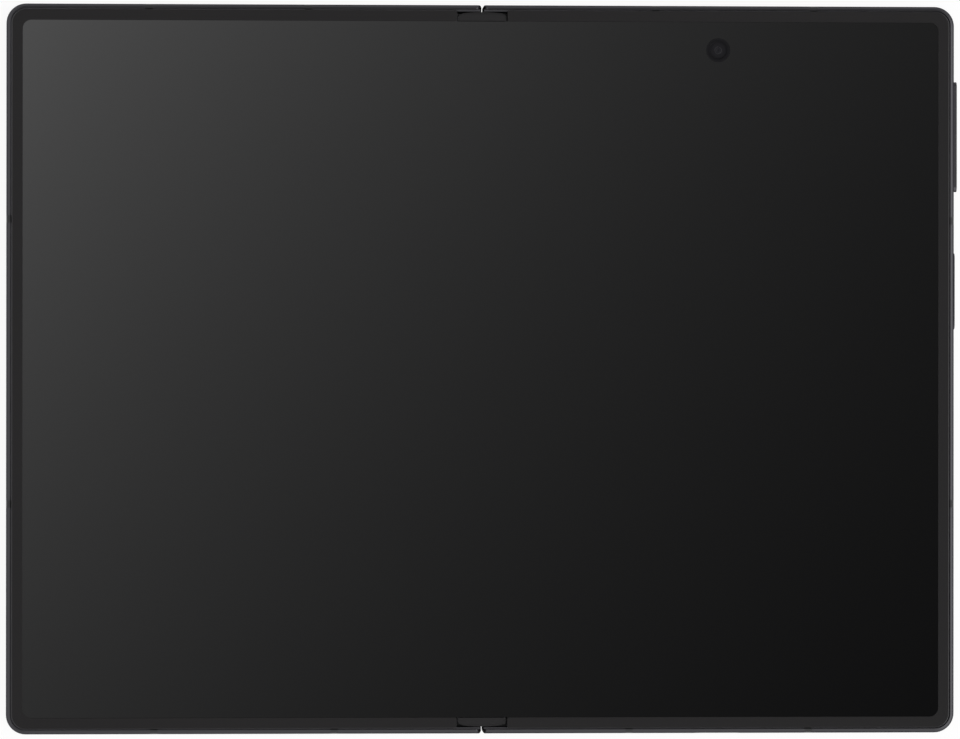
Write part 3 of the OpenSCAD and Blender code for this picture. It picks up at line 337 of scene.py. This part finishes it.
def bezel_plastic(name, colour, highlight_axis, highlight_colour):
    """Matt plastic whose rounded edges get a painted highlight, and less roughness, where they face along
    the given axis.
    """
    finish = Finish(name, Specular_IOR_Level=0.24)
    grain = finish.cells(0.12 * MM)
    cloud = finish.speckle(9 * MM, 3)
    # Painted highlight: edges facing along the given axis are lighter in colour.
    painted_highlight_edges = abs(finish.facing()[highlight_axis]).rise(0.06, 0.6)
    dull = finish.mix(scaled(colour, 0.92), scaled(colour, 1.08), cloud)
    finish.feed(
        Base_Color=finish.mix(dull, highlight_colour, painted_highlight_edges),
        Roughness=0.56 + 0.08 * cloud - 0.05 * grain - 0.2 * painted_highlight_edges)
    return finish.bump(grain, 2e-6)


def flexible_screen():
    """Glossy film over a display that is off, with the faint waviness of a soft panel."""
    finish = Finish("screen_film", IOR=1.5)
    wave = finish.speckle(11 * MM, 1)
    smear = finish.speckle(23 * MM, 4, seed=5)
    finish.feed(
        Base_Color=finish.mix((0.0003, 0.0003, 0.0005), (0.0007, 0.0007, 0.0009), smear),
        Roughness=0.04 + 0.012 * smear)
    return finish.bump(wave, 0.25e-6)


def stamped_steel(name="stamped_steel", colour=(0.42, 0.42, 0.44), stretch=(1, 0.03, 1)):
    """Cold-rolled steel, brushed along the axis of the smallest stretch."""
    finish = Finish(name, Metallic=1)
    brush = finish.speckle(0.06 * MM, 3, stretch=stretch)
    stain = finish.speckle(6 * MM, 4, seed=2)
    finish.feed(
        Base_Color=finish.mix(scaled(colour, 0.8), scaled(colour, 1.15), brush * 0.6 + stain * 0.4),
        Roughness=0.22 + 0.16 * brush + 0.08 * stain)
    return finish.bump(brush, 1.5e-6)


def socket_steel():
    """Drawn shell of the charging socket, with its black tongue and gilt contacts."""
    finish = Finish("socket_steel")
    across, up = finish.x - MIDDLE_X, abs(finish.z - SOCKET_Z)
    tongue = (abs(across) < 3.37 * MM) * (up < 0.38 * MM)
    strip = abs((across / (0.5 * MM)) % 1 - 0.5) < 0.28
    gilt = tongue * strip * (abs(across) < 3 * MM) * (up > 0.3 * MM)
    stain = finish.speckle(1.5 * MM, 4)
    shell = finish.mix((0.36, 0.36, 0.37), (0.5, 0.5, 0.51), stain)
    body = finish.mix(shell, (0.014, 0.014, 0.015), tongue)
    finish.feed(
        Base_Color=finish.mix(body, (0.83, 0.6, 0.24), gilt),
        Metallic=1 - tongue + gilt, Roughness=0.24 + 0.14 * stain + 0.2 * tongue - 0.2 * gilt)
    return finish.bump(gilt, 20e-6)


def circuit_board():
    """Solder mask over tracks, with bare gilt pads."""
    finish = Finish("circuit_board", Coat_Weight=0.4, Coat_Roughness=0.15)
    lanes = abs((finish.x / (0.9 * MM)) % 1 - 0.5) < 0.22
    turns = finish.speckle(2.2 * MM, 1) > 0.5
    rows = abs((finish.y / (0.7 * MM)) % 1 - 0.5) < 0.22
    track = lanes * turns + rows * (1 - turns)
    pad = finish.cells(1.6 * MM) < 0.13
    mask = finish.mix((0.004, 0.035, 0.016), (0.01, 0.075, 0.035), track)
    finish.feed(
        Base_Color=finish.mix(mask, (0.75, 0.5, 0.18), pad),
        Metallic=pad, Roughness=0.42 - 0.15 * pad)
    return finish.bump(track + pad, 12e-6)


def amber_flex():
    """Copper tracks under amber film."""
    finish = Finish("amber_flex", Coat_Weight=0.5, Coat_Roughness=0.2)
    track = abs((finish.y / (0.8 * MM)) % 1 - 0.5).rise(0.3, 0.24)
    film = finish.speckle(3 * MM, 3)
    copper = finish.mix((0.42, 0.15, 0.04), (0.55, 0.22, 0.06), film)
    finish.feed(
        Base_Color=finish.mix((0.24, 0.085, 0.012), copper, track),
        Metallic=0.55 * track, Roughness=0.36 + 0.1 * film)
    return finish.bump(track, 10e-6)


def wound_copper():
    """Round enamelled wire of the charging coil."""
    finish = Finish("wound_copper", Metallic=1)
    shade = finish.speckle(1.2 * MM, 3)
    finish.feed(
        Base_Color=finish.mix((0.5, 0.2, 0.075), (0.66, 0.31, 0.13), shade),
        Roughness=0.3 + 0.12 * shade)
    return finish.bump(shade, 8e-6)


def pouch_foil():
    """Laminated foil, a little wrinkled."""
    finish = Finish("pouch_foil", Coat_Weight=0.15, Coat_Roughness=0.35)
    wrinkle = finish.speckle(5 * MM, 5, stretch=(1, 0.4, 1))
    weave = finish.speckle(0.3 * MM, 1)
    finish.feed(
        Base_Color=finish.mix((0.018, 0.018, 0.02), (0.04, 0.04, 0.044), wrinkle),
        Roughness=0.36 + 0.14 * weave)
    return finish.bump(wrinkle, 60e-6)


def etched_glass():
    """Matt back glass with a fine sparkle."""
    finish = Finish("etched_glass", IOR=1.5)
    frost = finish.speckle(0.07 * MM, 2)
    sparkle = finish.cells(0.22 * MM).rise(0.1, 0.02)
    cloud = finish.speckle(40 * MM, 2, seed=8)
    shade = finish.mix((0.026, 0.026, 0.029), (0.033, 0.033, 0.037), cloud)
    finish.feed(
        Base_Color=finish.mix(shade, (0.1, 0.1, 0.11), 0.3 * sparkle),
        Roughness=0.36 + 0.07 * frost - 0.08 * sparkle)
    return finish.bump(frost, 0.8e-6)


def polished_glass():
    """Cover glass: a black printed border round a display that is off."""
    finish = Finish("polished_glass", IOR=1.52)
    border = 1.5 * MM
    soft = 0.06 * MM
    low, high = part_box("cover_glass")
    shown = finish.round_box(low.x + border, high.x - border, low.y + border, high.y - border, 2.2 * MM)
    lit = shown.rise(soft, -soft) * finish.near(-MIDDLE_X, CAMERA_Y).rise(2.6 * MM, 2.7 * MM)
    smear = finish.speckle(30 * MM, 4)
    display = finish.mix((0.003, 0.0032, 0.004), (0.0042, 0.0044, 0.0055), smear)
    finish.feed(
        Base_Color=finish.mix((0.0015, 0.0015, 0.0016), display, lit),
        Roughness=0.02 + 0.02 * smear)
    return finish.bump(finish.speckle(18 * MM, 1), 0.15e-6)


def clear_glass(name, printed_r):
    """Clear window with an anti-reflection coating, printed black on its back beyond printed_r."""
    finish = Finish(name, IOR=1.28, Transmission_Weight=1)
    smear = finish.speckle(2 * MM, 3)
    ring = finish.from_lens().rise(printed_r, printed_r + 0.03 * MM)
    finish.feed(
        Base_Color=finish.mix((0.94, 0.95, 0.96), (0.001, 0.001, 0.001), ring),
        Roughness=0.01 + 0.015 * smear)
    return finish


def turned_black(name="turned_black", colour=(0.012, 0.012, 0.013)):
    """Blackened metal with the fine grooves of a lathe tool."""
    finish = Finish(name, Metallic=0.5)
    away = finish.from_lens()
    groove = ((away / (0.14 * MM)) * (2 * math.pi)).sine() * 0.5 + 0.5
    finish.feed(
        Base_Color=finish.mix(colour, scaled(colour, 2.2), groove),
        Roughness=0.3 + 0.15 * groove)
    return finish.bump(groove, 6e-6)


def smoked_lens():
    """Tiny dull lens of the inner camera."""
    finish = Finish("smoked_lens", Specular_IOR_Level=0.07)
    away = finish.near(MIDDLE_X, CAMERA_Y)
    shade = finish.mix((0.014, 0.0135, 0.016), (0.021, 0.0205, 0.024), away.rise(0.1 * MM, 0.4 * MM))
    finish.feed(Base_Color=shade, Roughness=0.12 + 0.05 * finish.speckle(0.1 * MM))
    return finish


def coated_lens():
    """Front lens of a camera, coated: dark in the middle, then violet, and green at its rim."""
    tint = (0.45, 0.7, 1, 1)
    finish = Finish("coated_lens", IOR=1.5, Coat_Weight=0.3, Coat_Roughness=0.01, Specular_Tint=tint)
    away = finish.from_lens() + 0.05 * MM * finish.speckle(0.4 * MM, 2)
    violet = finish.mix((0.002, 0.002, 0.003), (0.02, 0.007, 0.036), away.rise(0.15 * MM, 0.7 * MM))
    green = finish.mix(violet, (0.004, 0.018, 0.014), away.rise(0.75 * MM, 1.35 * MM))
    finish.feed(Base_Color=green, Roughness=0.02)
    return finish


def camera_bowl():
    """Dull black bowl of the inner camera, with painted shade that makes it darkest below its rim."""
    finish = Finish("camera_bowl", Specular_IOR_Level=0.1)
    away = finish.near(MIDDLE_X, CAMERA_Y)
    grain = finish.speckle(0.05 * MM, 2)
    # Painted shade: the colour darkens from the middle towards the wall below the rim, and the rim itself
    # is left lighter.
    middle = finish.mix((0.0132, 0.0128, 0.0152), (0.0062, 0.006, 0.0072), away.rise(0.55 * MM, 1.65 * MM))
    rim = away.rise(1.7 * MM, 2.02 * MM)
    finish.feed(
        Base_Color=finish.mix(middle, (0.0125, 0.0122, 0.014), rim),
        Roughness=0.5 + 0.1 * grain)
    return finish.bump(grain, 1e-6)


def woven_mesh():
    """Fine woven wire over the sound holes."""
    finish = Finish("woven_mesh", Metallic=0.8)
    pitch = 0.11 * MM
    warp = ((finish.x / pitch) * (2 * math.pi)).sine()
    weft = (((finish.y + finish.z) / pitch) * (2 * math.pi)).sine()
    wire = (warp | weft).rise(0.2, 0.9)
    finish.feed(
        Base_Color=finish.mix((0.002, 0.002, 0.002), (0.09, 0.09, 0.095), wire),
        Roughness=0.5 - 0.1 * wire)
    return finish.bump(wire, 20e-6)


def sensor_key():
    """Power key: anodised, with the smoother face of the fingerprint sensor, painted shade on its sides
    and a painted highlight on its upward faces.
    """
    finish = Finish("sensor_key", Metallic=1, Specular_Tint=(0.35, 0.35, 0.37, 1))
    low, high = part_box("power_key")
    middle = (low.y + high.y) / 2
    face = abs(finish.y - middle).rise(5.2 * MM, 5.0 * MM) * (finish.x > HALF_W - 0.05 * MM)
    grain = finish.speckle(0.09 * MM, 2)
    # Painted light: the sides get a darker colour as painted shade, and the upward faces a lighter one as
    # painted highlight.
    upward = abs(finish.facing()[2]).rise(0.2, 0.9)
    side = finish.mix((0.028, 0.028, 0.031), (0.034, 0.034, 0.037), grain)
    metal = finish.mix(side, (0.068, 0.068, 0.072), upward)
    finish.feed(
        Base_Color=finish.mix(metal, (0.024, 0.024, 0.026), face * (1 - upward)),
        Roughness=0.32 + 0.05 * grain - 0.1 * face)
    return finish.bump(grain * (1 - face), 1.2e-6)


def phosphor():
    """Yellow phosphor of the flash."""
    finish = Finish("phosphor", Roughness=0.6)
    grain = finish.speckle(0.12 * MM, 3)
    finish.feed(Base_Color=finish.mix((0.72, 0.5, 0.06), (0.85, 0.66, 0.14), grain))
    return finish.bump(grain, 10e-6)


FINISHES = {
    # rails: full painted shade on their sides and painted highlight on their upward faces
    "rail_metal": anodised("rail_metal", (0.066, 0.065, 0.07), painted_light_share=1.0),
    "spine_metal": brushed_spine(),
    "island_metal": anodised("island_metal", (0.05, 0.05, 0.055), roughness=0.28),
    "band_plastic": moulded("band_plastic", (0.03, 0.03, 0.032), roughness=0.45),
    # bezel: painted highlight on its rounded edges that face left and right
    "bezel": bezel_plastic("bezel_plastic", (0.0116, 0.0106, 0.0112), 0, (0.044, 0.043, 0.045)),
    "black_plastic": moulded("black_plastic", (0.012, 0.012, 0.013), roughness=0.5),
    "screen": flexible_screen(),
    "steel": stamped_steel(),
    "flex_copper": amber_flex(),
    "board": circuit_board(),
    "board_black": moulded("display_tape", (0.01, 0.01, 0.011), roughness=0.4),
    "cell": pouch_foil(),
    "rear_glass": etched_glass(),
    "cover_glass": polished_glass(),
    "lens_glass": clear_glass("lens_cover", 4.05 * MM),
    "flash": moulded("flash_ceramic", (0.75, 0.74, 0.7), roughness=0.35),
}

# hinge caps: painted highlight on their edges that face the top and bottom ends of the phone
CAP = bezel_plastic("cap_plastic", (0.0152, 0.0144, 0.0152), 1, (0.085, 0.083, 0.086))
MESH = woven_mesh()

# nodes with a finish of their own in place of their slot's
OWN_FINISHES = {
    "charging_coil": wound_copper(),
    "usb_c_socket": socket_steel(),
    "inner_camera": camera_bowl(),
    "hinge_cap_top": CAP,
    "hinge_cap_bottom": CAP,
    "power_key": sensor_key(),
    "rear_camera_modules": turned_black("camera_barrels", (0.008, 0.008, 0.009)),
    "spine_screws": stamped_steel("blackened_screws", (0.035, 0.035, 0.038), (1, 1, 1)),
}

for part in frame["record"]["subparts"]:
    name = part["node"]
    finish = OWN_FINISHES.get(name) or FINISHES[part["material_slot"]]
    for material_slot in frame["nodes"][name].material_slots:
        material_slot.material = finish.material


# ---------------------------------------------------------------- tools for modelled pieces

def finish_piece(name, bm, slot, finish=None, sharp=35):
    """Turns a bmesh into a named piece with the finish given, or else the finish of the slot named."""
    bmesh.ops.recalc_face_normals(bm, faces=bm.faces)
    mesh = bpy.data.meshes.new(name)
    bm.to_mesh(mesh)
    bm.free()
    mesh.shade_smooth()
    mesh.set_sharp_from_angle(angle=math.radians(sharp))
    mesh.materials.append((finish or FINISHES[slot]).material)
    piece = bpy.data.objects.new(name, mesh)
    bpy.context.scene.collection.objects.link(piece)
    return piece


def arc(x, y, r, start, end, steps):
    """Points on an arc, with angles in degrees."""
    angles = [math.radians(start + (end - start) * i / steps) for i in range(steps + 1)]
    return [(x + r * math.cos(a), y + r * math.sin(a)) for a in angles]


def circle(x, y, r, steps):
    """Points on a circle."""
    return arc(x, y, r, 0, 360, steps)[:-1]


def dome(r, rim_z, top_z, steps=8):
    """Profile of a dome from its middle to its rim."""
    turns = [0.5 * math.pi * i / steps for i in range(steps + 1)]
    return [(r * math.sin(t), rim_z + (top_z - rim_z) * math.cos(t)) for t in turns]


def turn(bm, profile, x, y):
    """Turns a closed profile of (radius, height) points about the upright line through (x, y)."""
    steps = 72
    rings = []
    for r, z in profile:
        places = circle(x, y, r, steps) if r > 0 else [(x, y)]
        rings.append([bm.verts.new((*place, z)) for place in places])
    for near, far in zip(rings, rings[1:] + rings[:1]):
        for i in range(steps):
            j = i + 1
            corners = [near[i % len(near)], near[j % len(near)], far[j % len(far)], far[i % len(far)]]
            corners = list(dict.fromkeys(corners))
            if len(corners) > 2:
                bm.faces.new(corners)


def turned(name, profile, places, body, slot, finish=None, sharp=35):
    """One piece with the same turned profile, in mm, at each of the places."""
    bm = bmesh.new()
    for x, y in places:
        turn(bm, [(r * MM, z * MM) for r, z in profile], x, y)
    piece = finish_piece(name, bm, slot, finish, sharp)
    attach(piece, body)
    return piece


def loop_edges(bm, points, z):
    """A closed loop of edges through flat points at the height z."""
    verts = [bm.verts.new((x, y, z)) for x, y in points]
    return [bm.edges.new(pair) for pair in zip(verts, verts[1:] + verts[:1])]


def extrude(bm, faces):
    """Extrudes faces and gives the new corners."""
    made = bmesh.ops.extrude_face_region(bm, geom=faces, use_keep_orig=True)
    return [item for item in made["geom"] if isinstance(item, bmesh.types.BMVert)]


def thicken(bm, end_z):
    """Extrudes the flat faces of a bmesh to the height end_z."""
    for vert in extrude(bm, list(bm.faces)):
        vert.co.z = end_z


def soften(piece, width, segments=3):
    """Rounds the edges of a piece or a node."""
    weld = piece.modifiers.new("weld", "WELD")
    weld.merge_threshold = 1e-6
    bevel = piece.modifiers.new("soft_edges", "BEVEL")
    bevel.width = width
    bevel.segments = segments
    bevel.limit_method = "ANGLE"
    bevel.angle_limit = math.radians(40)
    bevel.harden_normals = True


# ---------------------------------------------------------------- modelled pieces

def half_screen(side):
    """Half of the screen, in one piece from the fold line to its edge under the bezel."""
    step = 0.25 * MM
    fine_columns = 33            # they reach past the bend
    columns = sorted([step * i for i in range(fine_columns)] + [BEZEL_X])
    edge_x, edge_y = SCREEN_EDGE.x, SCREEN_EDGE.y
    corner_r = 1.4 * MM
    bm = bmesh.new()

    def vert(x, y):
        return bm.verts.new((side * x, y, SCREEN_TOP))

    rows = []
    for x in columns:
        if x < BEZEL_X:
            ends = [FOLD_SCREEN_END]
        elif x == BEZEL_X:
            ends = [edge_y, FOLD_SCREEN_END]
        else:
            ends = [edge_y]
        rows.append([vert(x, y) for y in [-e for e in ends] + ends[::-1]])
    for near, far in zip(rows, rows[1:]):
        outer = far[1:3] if len(far) > len(near) else far
        bm.faces.new([*near, *reversed(outer)])
    rim = arc(edge_x - corner_r, corner_r - edge_y, corner_r, -90, 0, 10)
    rim += arc(edge_x - corner_r, edge_y - corner_r, corner_r, 0, 90, 10)
    last = rows[-1]
    loop = [last[0], *[vert(x, y) for x, y in rim], last[-1]]
    edges = [bm.edges.get(pair) or bm.edges.new(pair) for pair in zip(loop, loop[1:] + loop[:1])]
    if side > 0:
        edges += loop_edges(bm, circle(MIDDLE_X, CAMERA_Y, PUNCH_R, 64), SCREEN_TOP)
    bmesh.ops.triangle_fill(bm, edges=edges, use_beauty=True)
    thicken(bm, SCREEN_LOW)
    name = "right_screen" if side > 0 else "left_screen"
    return finish_piece(name, bm, "screen")


def add_screen():
    """Both halves of the screen, each one flat piece from the fold line outwards, in place of the model's
    screen parts, which are hidden.
    """
    right = half_screen(1)
    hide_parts("screen_right", "screen_fold")
    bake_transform(right)
    left = half_screen(-1)
    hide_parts("screen_left", "screen_fold")
    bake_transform(left)


def add_flex_cables():
    """The two flat cables over the fold, each drawn as a right and a left length."""
    low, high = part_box("fold_flex_cables")
    cable_w = 15 * MM
    steps = 24
    halves = ((1, "right", ("spine", "right_half")), (-1, "left", ("left_half", "spine")))
    for side, half, ends in halves:
        bm = bmesh.new()
        for y0, y1 in ((low.y, low.y + cable_w), (high.y - cable_w, high.y)):
            xs = [side * high.x * i / steps for i in range(steps + 1)]
            pairs = [[bm.verts.new((x, y, high.z)) for y in (y0, y1)] for x in xs]
            for near, far in zip(pairs, pairs[1:]):
                bm.faces.new([near[0], far[0], far[1], near[1]])
        thicken(bm, low.z)
        cable = finish_piece(half + "_flex_cables", bm, "flex_copper")
        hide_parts("fold_flex_cables")
        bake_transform(cable)


def add_inner_camera():
    """Small lens at the bottom of the inner camera's bowl, its bead, and the gasket round the bowl."""
    place = [(MIDDLE_X, CAMERA_Y)]
    bead = circle(0.57, 5.965, 0.075, 12)
    satin = moulded("lens_bead", (0.021, 0.0205, 0.0235), roughness=0.38, level=0.25)
    turned("inner_lens_bead", bead, place, "right_half", "lens_glass", satin)
    lens = dome(0.5, 5.93, 5.99) + [(0.5, 5.905), (0, 5.905)]
    turned("inner_lens", lens, place, "right_half", "lens_glass", smoked_lens())
    gasket = [(1.985, 5.75), (2.027, 5.75), (2.027, 6.05), (1.985, 6.05)]
    foam = moulded("gasket_foam", (0.012, 0.0118, 0.0135), roughness=0.7, level=0.1)
    turned("inner_camera_gasket", gasket, place, "right_half", "black_plastic", foam)


def add_rear_cameras():
    """Behind each lens cover: a retaining ring, a seat and a domed front element."""
    places = [(LENS_X, y) for y in LENS_Y]
    cover = [(0, 0.12), (4.52, 0.12), (4.6, 0.2), (4.6, 0.61), (0, 0.61)]
    covers = turned("lens_covers", cover, places, "right_half", "lens_glass")
    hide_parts("rear_lens_covers")
    ring = [(2.3, 0.698), (2.3, 0.65), (2.4, 0.63), (2.55, 0.63), (2.6, 0.67), (3.3, 0.67),
            (3.35, 0.64), (3.85, 0.64), (3.9, 0.67), (4.1, 0.67), (4.1, 0.698)]
    turned("retaining_rings", ring, places, "right_half", "black_plastic", turned_black())
    seat = [(1.52, 1.14), (1.52, 1.06), (1.58, 1.0), (1.66, 1.0), (1.78, 1.06), (1.78, 1.14)]
    grey = turned_black("lens_seat", (0.05, 0.05, 0.055))
    turned("lens_seats", seat, places, "right_half", "steel", grey)
    front = dome(1.5, 1.12, 0.84, 12) + [(1.5, 1.2), (0, 1.2)]
    turned("front_elements", front, places, "right_half", "lens_glass", coated_lens())


def add_flash():
    """Ribbed window of the flash over a reflector cup and its diode."""
    low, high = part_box("flash_window")
    place = [((low.x + high.x) / 2, (low.y + high.y) / 2)]
    ribs = [point for r in (1.5, 1.2, 0.9, 0.6) for point in ((r, 2.18), (r - 0.26, 2.02))]
    window = [(0, 1.61), (1.62, 1.61), (1.68, 1.66), (1.68, 2.18)] + ribs + [(0.3, 2.1), (0, 2.14)]
    clear = clear_glass("flash_acrylic", 20 * MM)
    glass = turned("flash_window_ribbed", window, place, "right_half", "flash", clear, 20)
    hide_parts("flash_window")
    cup = [(1.66, 2.2), (1.66, 2.68), (0.85, 2.68), (0.9, 2.6), (1.5, 2.22)]
    turned("flash_reflector", cup, place, "right_half", "flash")
    diode = dome(0.84, 2.58, 2.46) + [(0.84, 2.66), (0, 2.66)]
    turned("flash_diode", diode, place, "right_half", "flash", phosphor())


def add_cover_glass():
    """Cover glass with ground edges and an opening for the camera under its own clear window."""
    low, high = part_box("cover_glass")
    corner_r = 2.35 * MM
    outline = [(high.x, low.y), (high.x, high.y)]
    outline += arc(low.x + corner_r, high.y - corner_r, corner_r, 90, 180, 12)
    outline += arc(low.x + corner_r, low.y + corner_r, corner_r, 180, 270, 12)
    bm = bmesh.new()
    edges = loop_edges(bm, outline, BACK_Z)
    edges += loop_edges(bm, circle(-MIDDLE_X, CAMERA_Y, 1.75 * MM, 64), BACK_Z)
    bmesh.ops.triangle_fill(bm, edges=edges, use_beauty=True)
    thicken(bm, BACK_Z + COVER_T)
    glass = finish_piece("cover_glass_panel", bm, "cover_glass", sharp=180)
    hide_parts("cover_glass")
    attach(glass, "left_half")
    soften(glass, 0.18 * MM)
    place = [(-MIDDLE_X, CAMERA_Y)]
    window = [(0, 1.61), (1.62, 1.61), (1.7, 1.68), (1.7, 2.19), (0, 2.19)]
    clear = clear_glass("camera_window", 1.3 * MM)
    turned("cover_camera_window", window, place, "left_half", "lens_glass", clear)
    iris = [(0.5, 2.245), (0.55, 2.21), (1.2, 2.21), (1.25, 2.245)]
    turned("cover_camera_ring", iris, place, "left_half", "black_plastic", turned_black())
    lens = dome(0.46, 2.4, 2.29) + [(0.46, 2.42), (0, 2.42)]
    turned("cover_camera_lens", lens, place, "left_half", "lens_glass", coated_lens())


def add_sound_meshes():
    """Woven wire behind the sound holes of both halves, and behind the earpiece slit."""
    hole_r = 0.49 * MM
    pitch = 1.8 * MM
    mesh_t = 0.08 * MM
    depth = 0.7 * MM
    z = (BACK_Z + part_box("right_frame")[1].z) / 2
    rows = (("right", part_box("loudspeaker"), 6, -1), ("left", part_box("top_speaker"), 5, 1))
    for half, box, count, end in rows:
        bm = bmesh.new()
        middle = (box[0].x + box[1].x) / 2
        for i in range(count):
            x = middle + (i - (count - 1) / 2) * pitch
            y = end * (HALF_H - depth)
            front = bm.faces.new([bm.verts.new((px, y, pz)) for px, pz in circle(x, z, hole_r, 24)])
            for vert in extrude(bm, [front]):
                vert.co.y -= end * mesh_t
        piece = finish_piece(half + "_speaker_mesh", bm, "steel", MESH)
        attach(piece, half + "_half")
    bm = bmesh.new()
    half_l, r = 4.3 * MM, 0.14 * MM
    y = HALF_H - 0.62 * MM
    slit = arc(half_l - MIDDLE_X, y, r, -90, 90, 8) + arc(-half_l - MIDDLE_X, y, r, 90, 270, 8)
    bm.faces.new([bm.verts.new((px, py, BACK_Z + 0.3 * MM)) for px, py in slit])
    thicken(bm, BACK_Z + 0.38 * MM)
    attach(finish_piece("earpiece_mesh", bm, "steel", MESH), "left_half")


add_screen()
add_flex_cables()
add_inner_camera()
add_rear_cameras()
add_flash()
add_cover_glass()
add_sound_meshes()
for node in ("hinge_cap_top", "hinge_cap_bottom"):
    soften(frame["nodes"][node], 0.2 * MM, 4)
for node in ("volume_key", "power_key", "card_tray", "left_bezel", "right_bezel"):
    soften(frame["nodes"][node], 0.06 * MM)
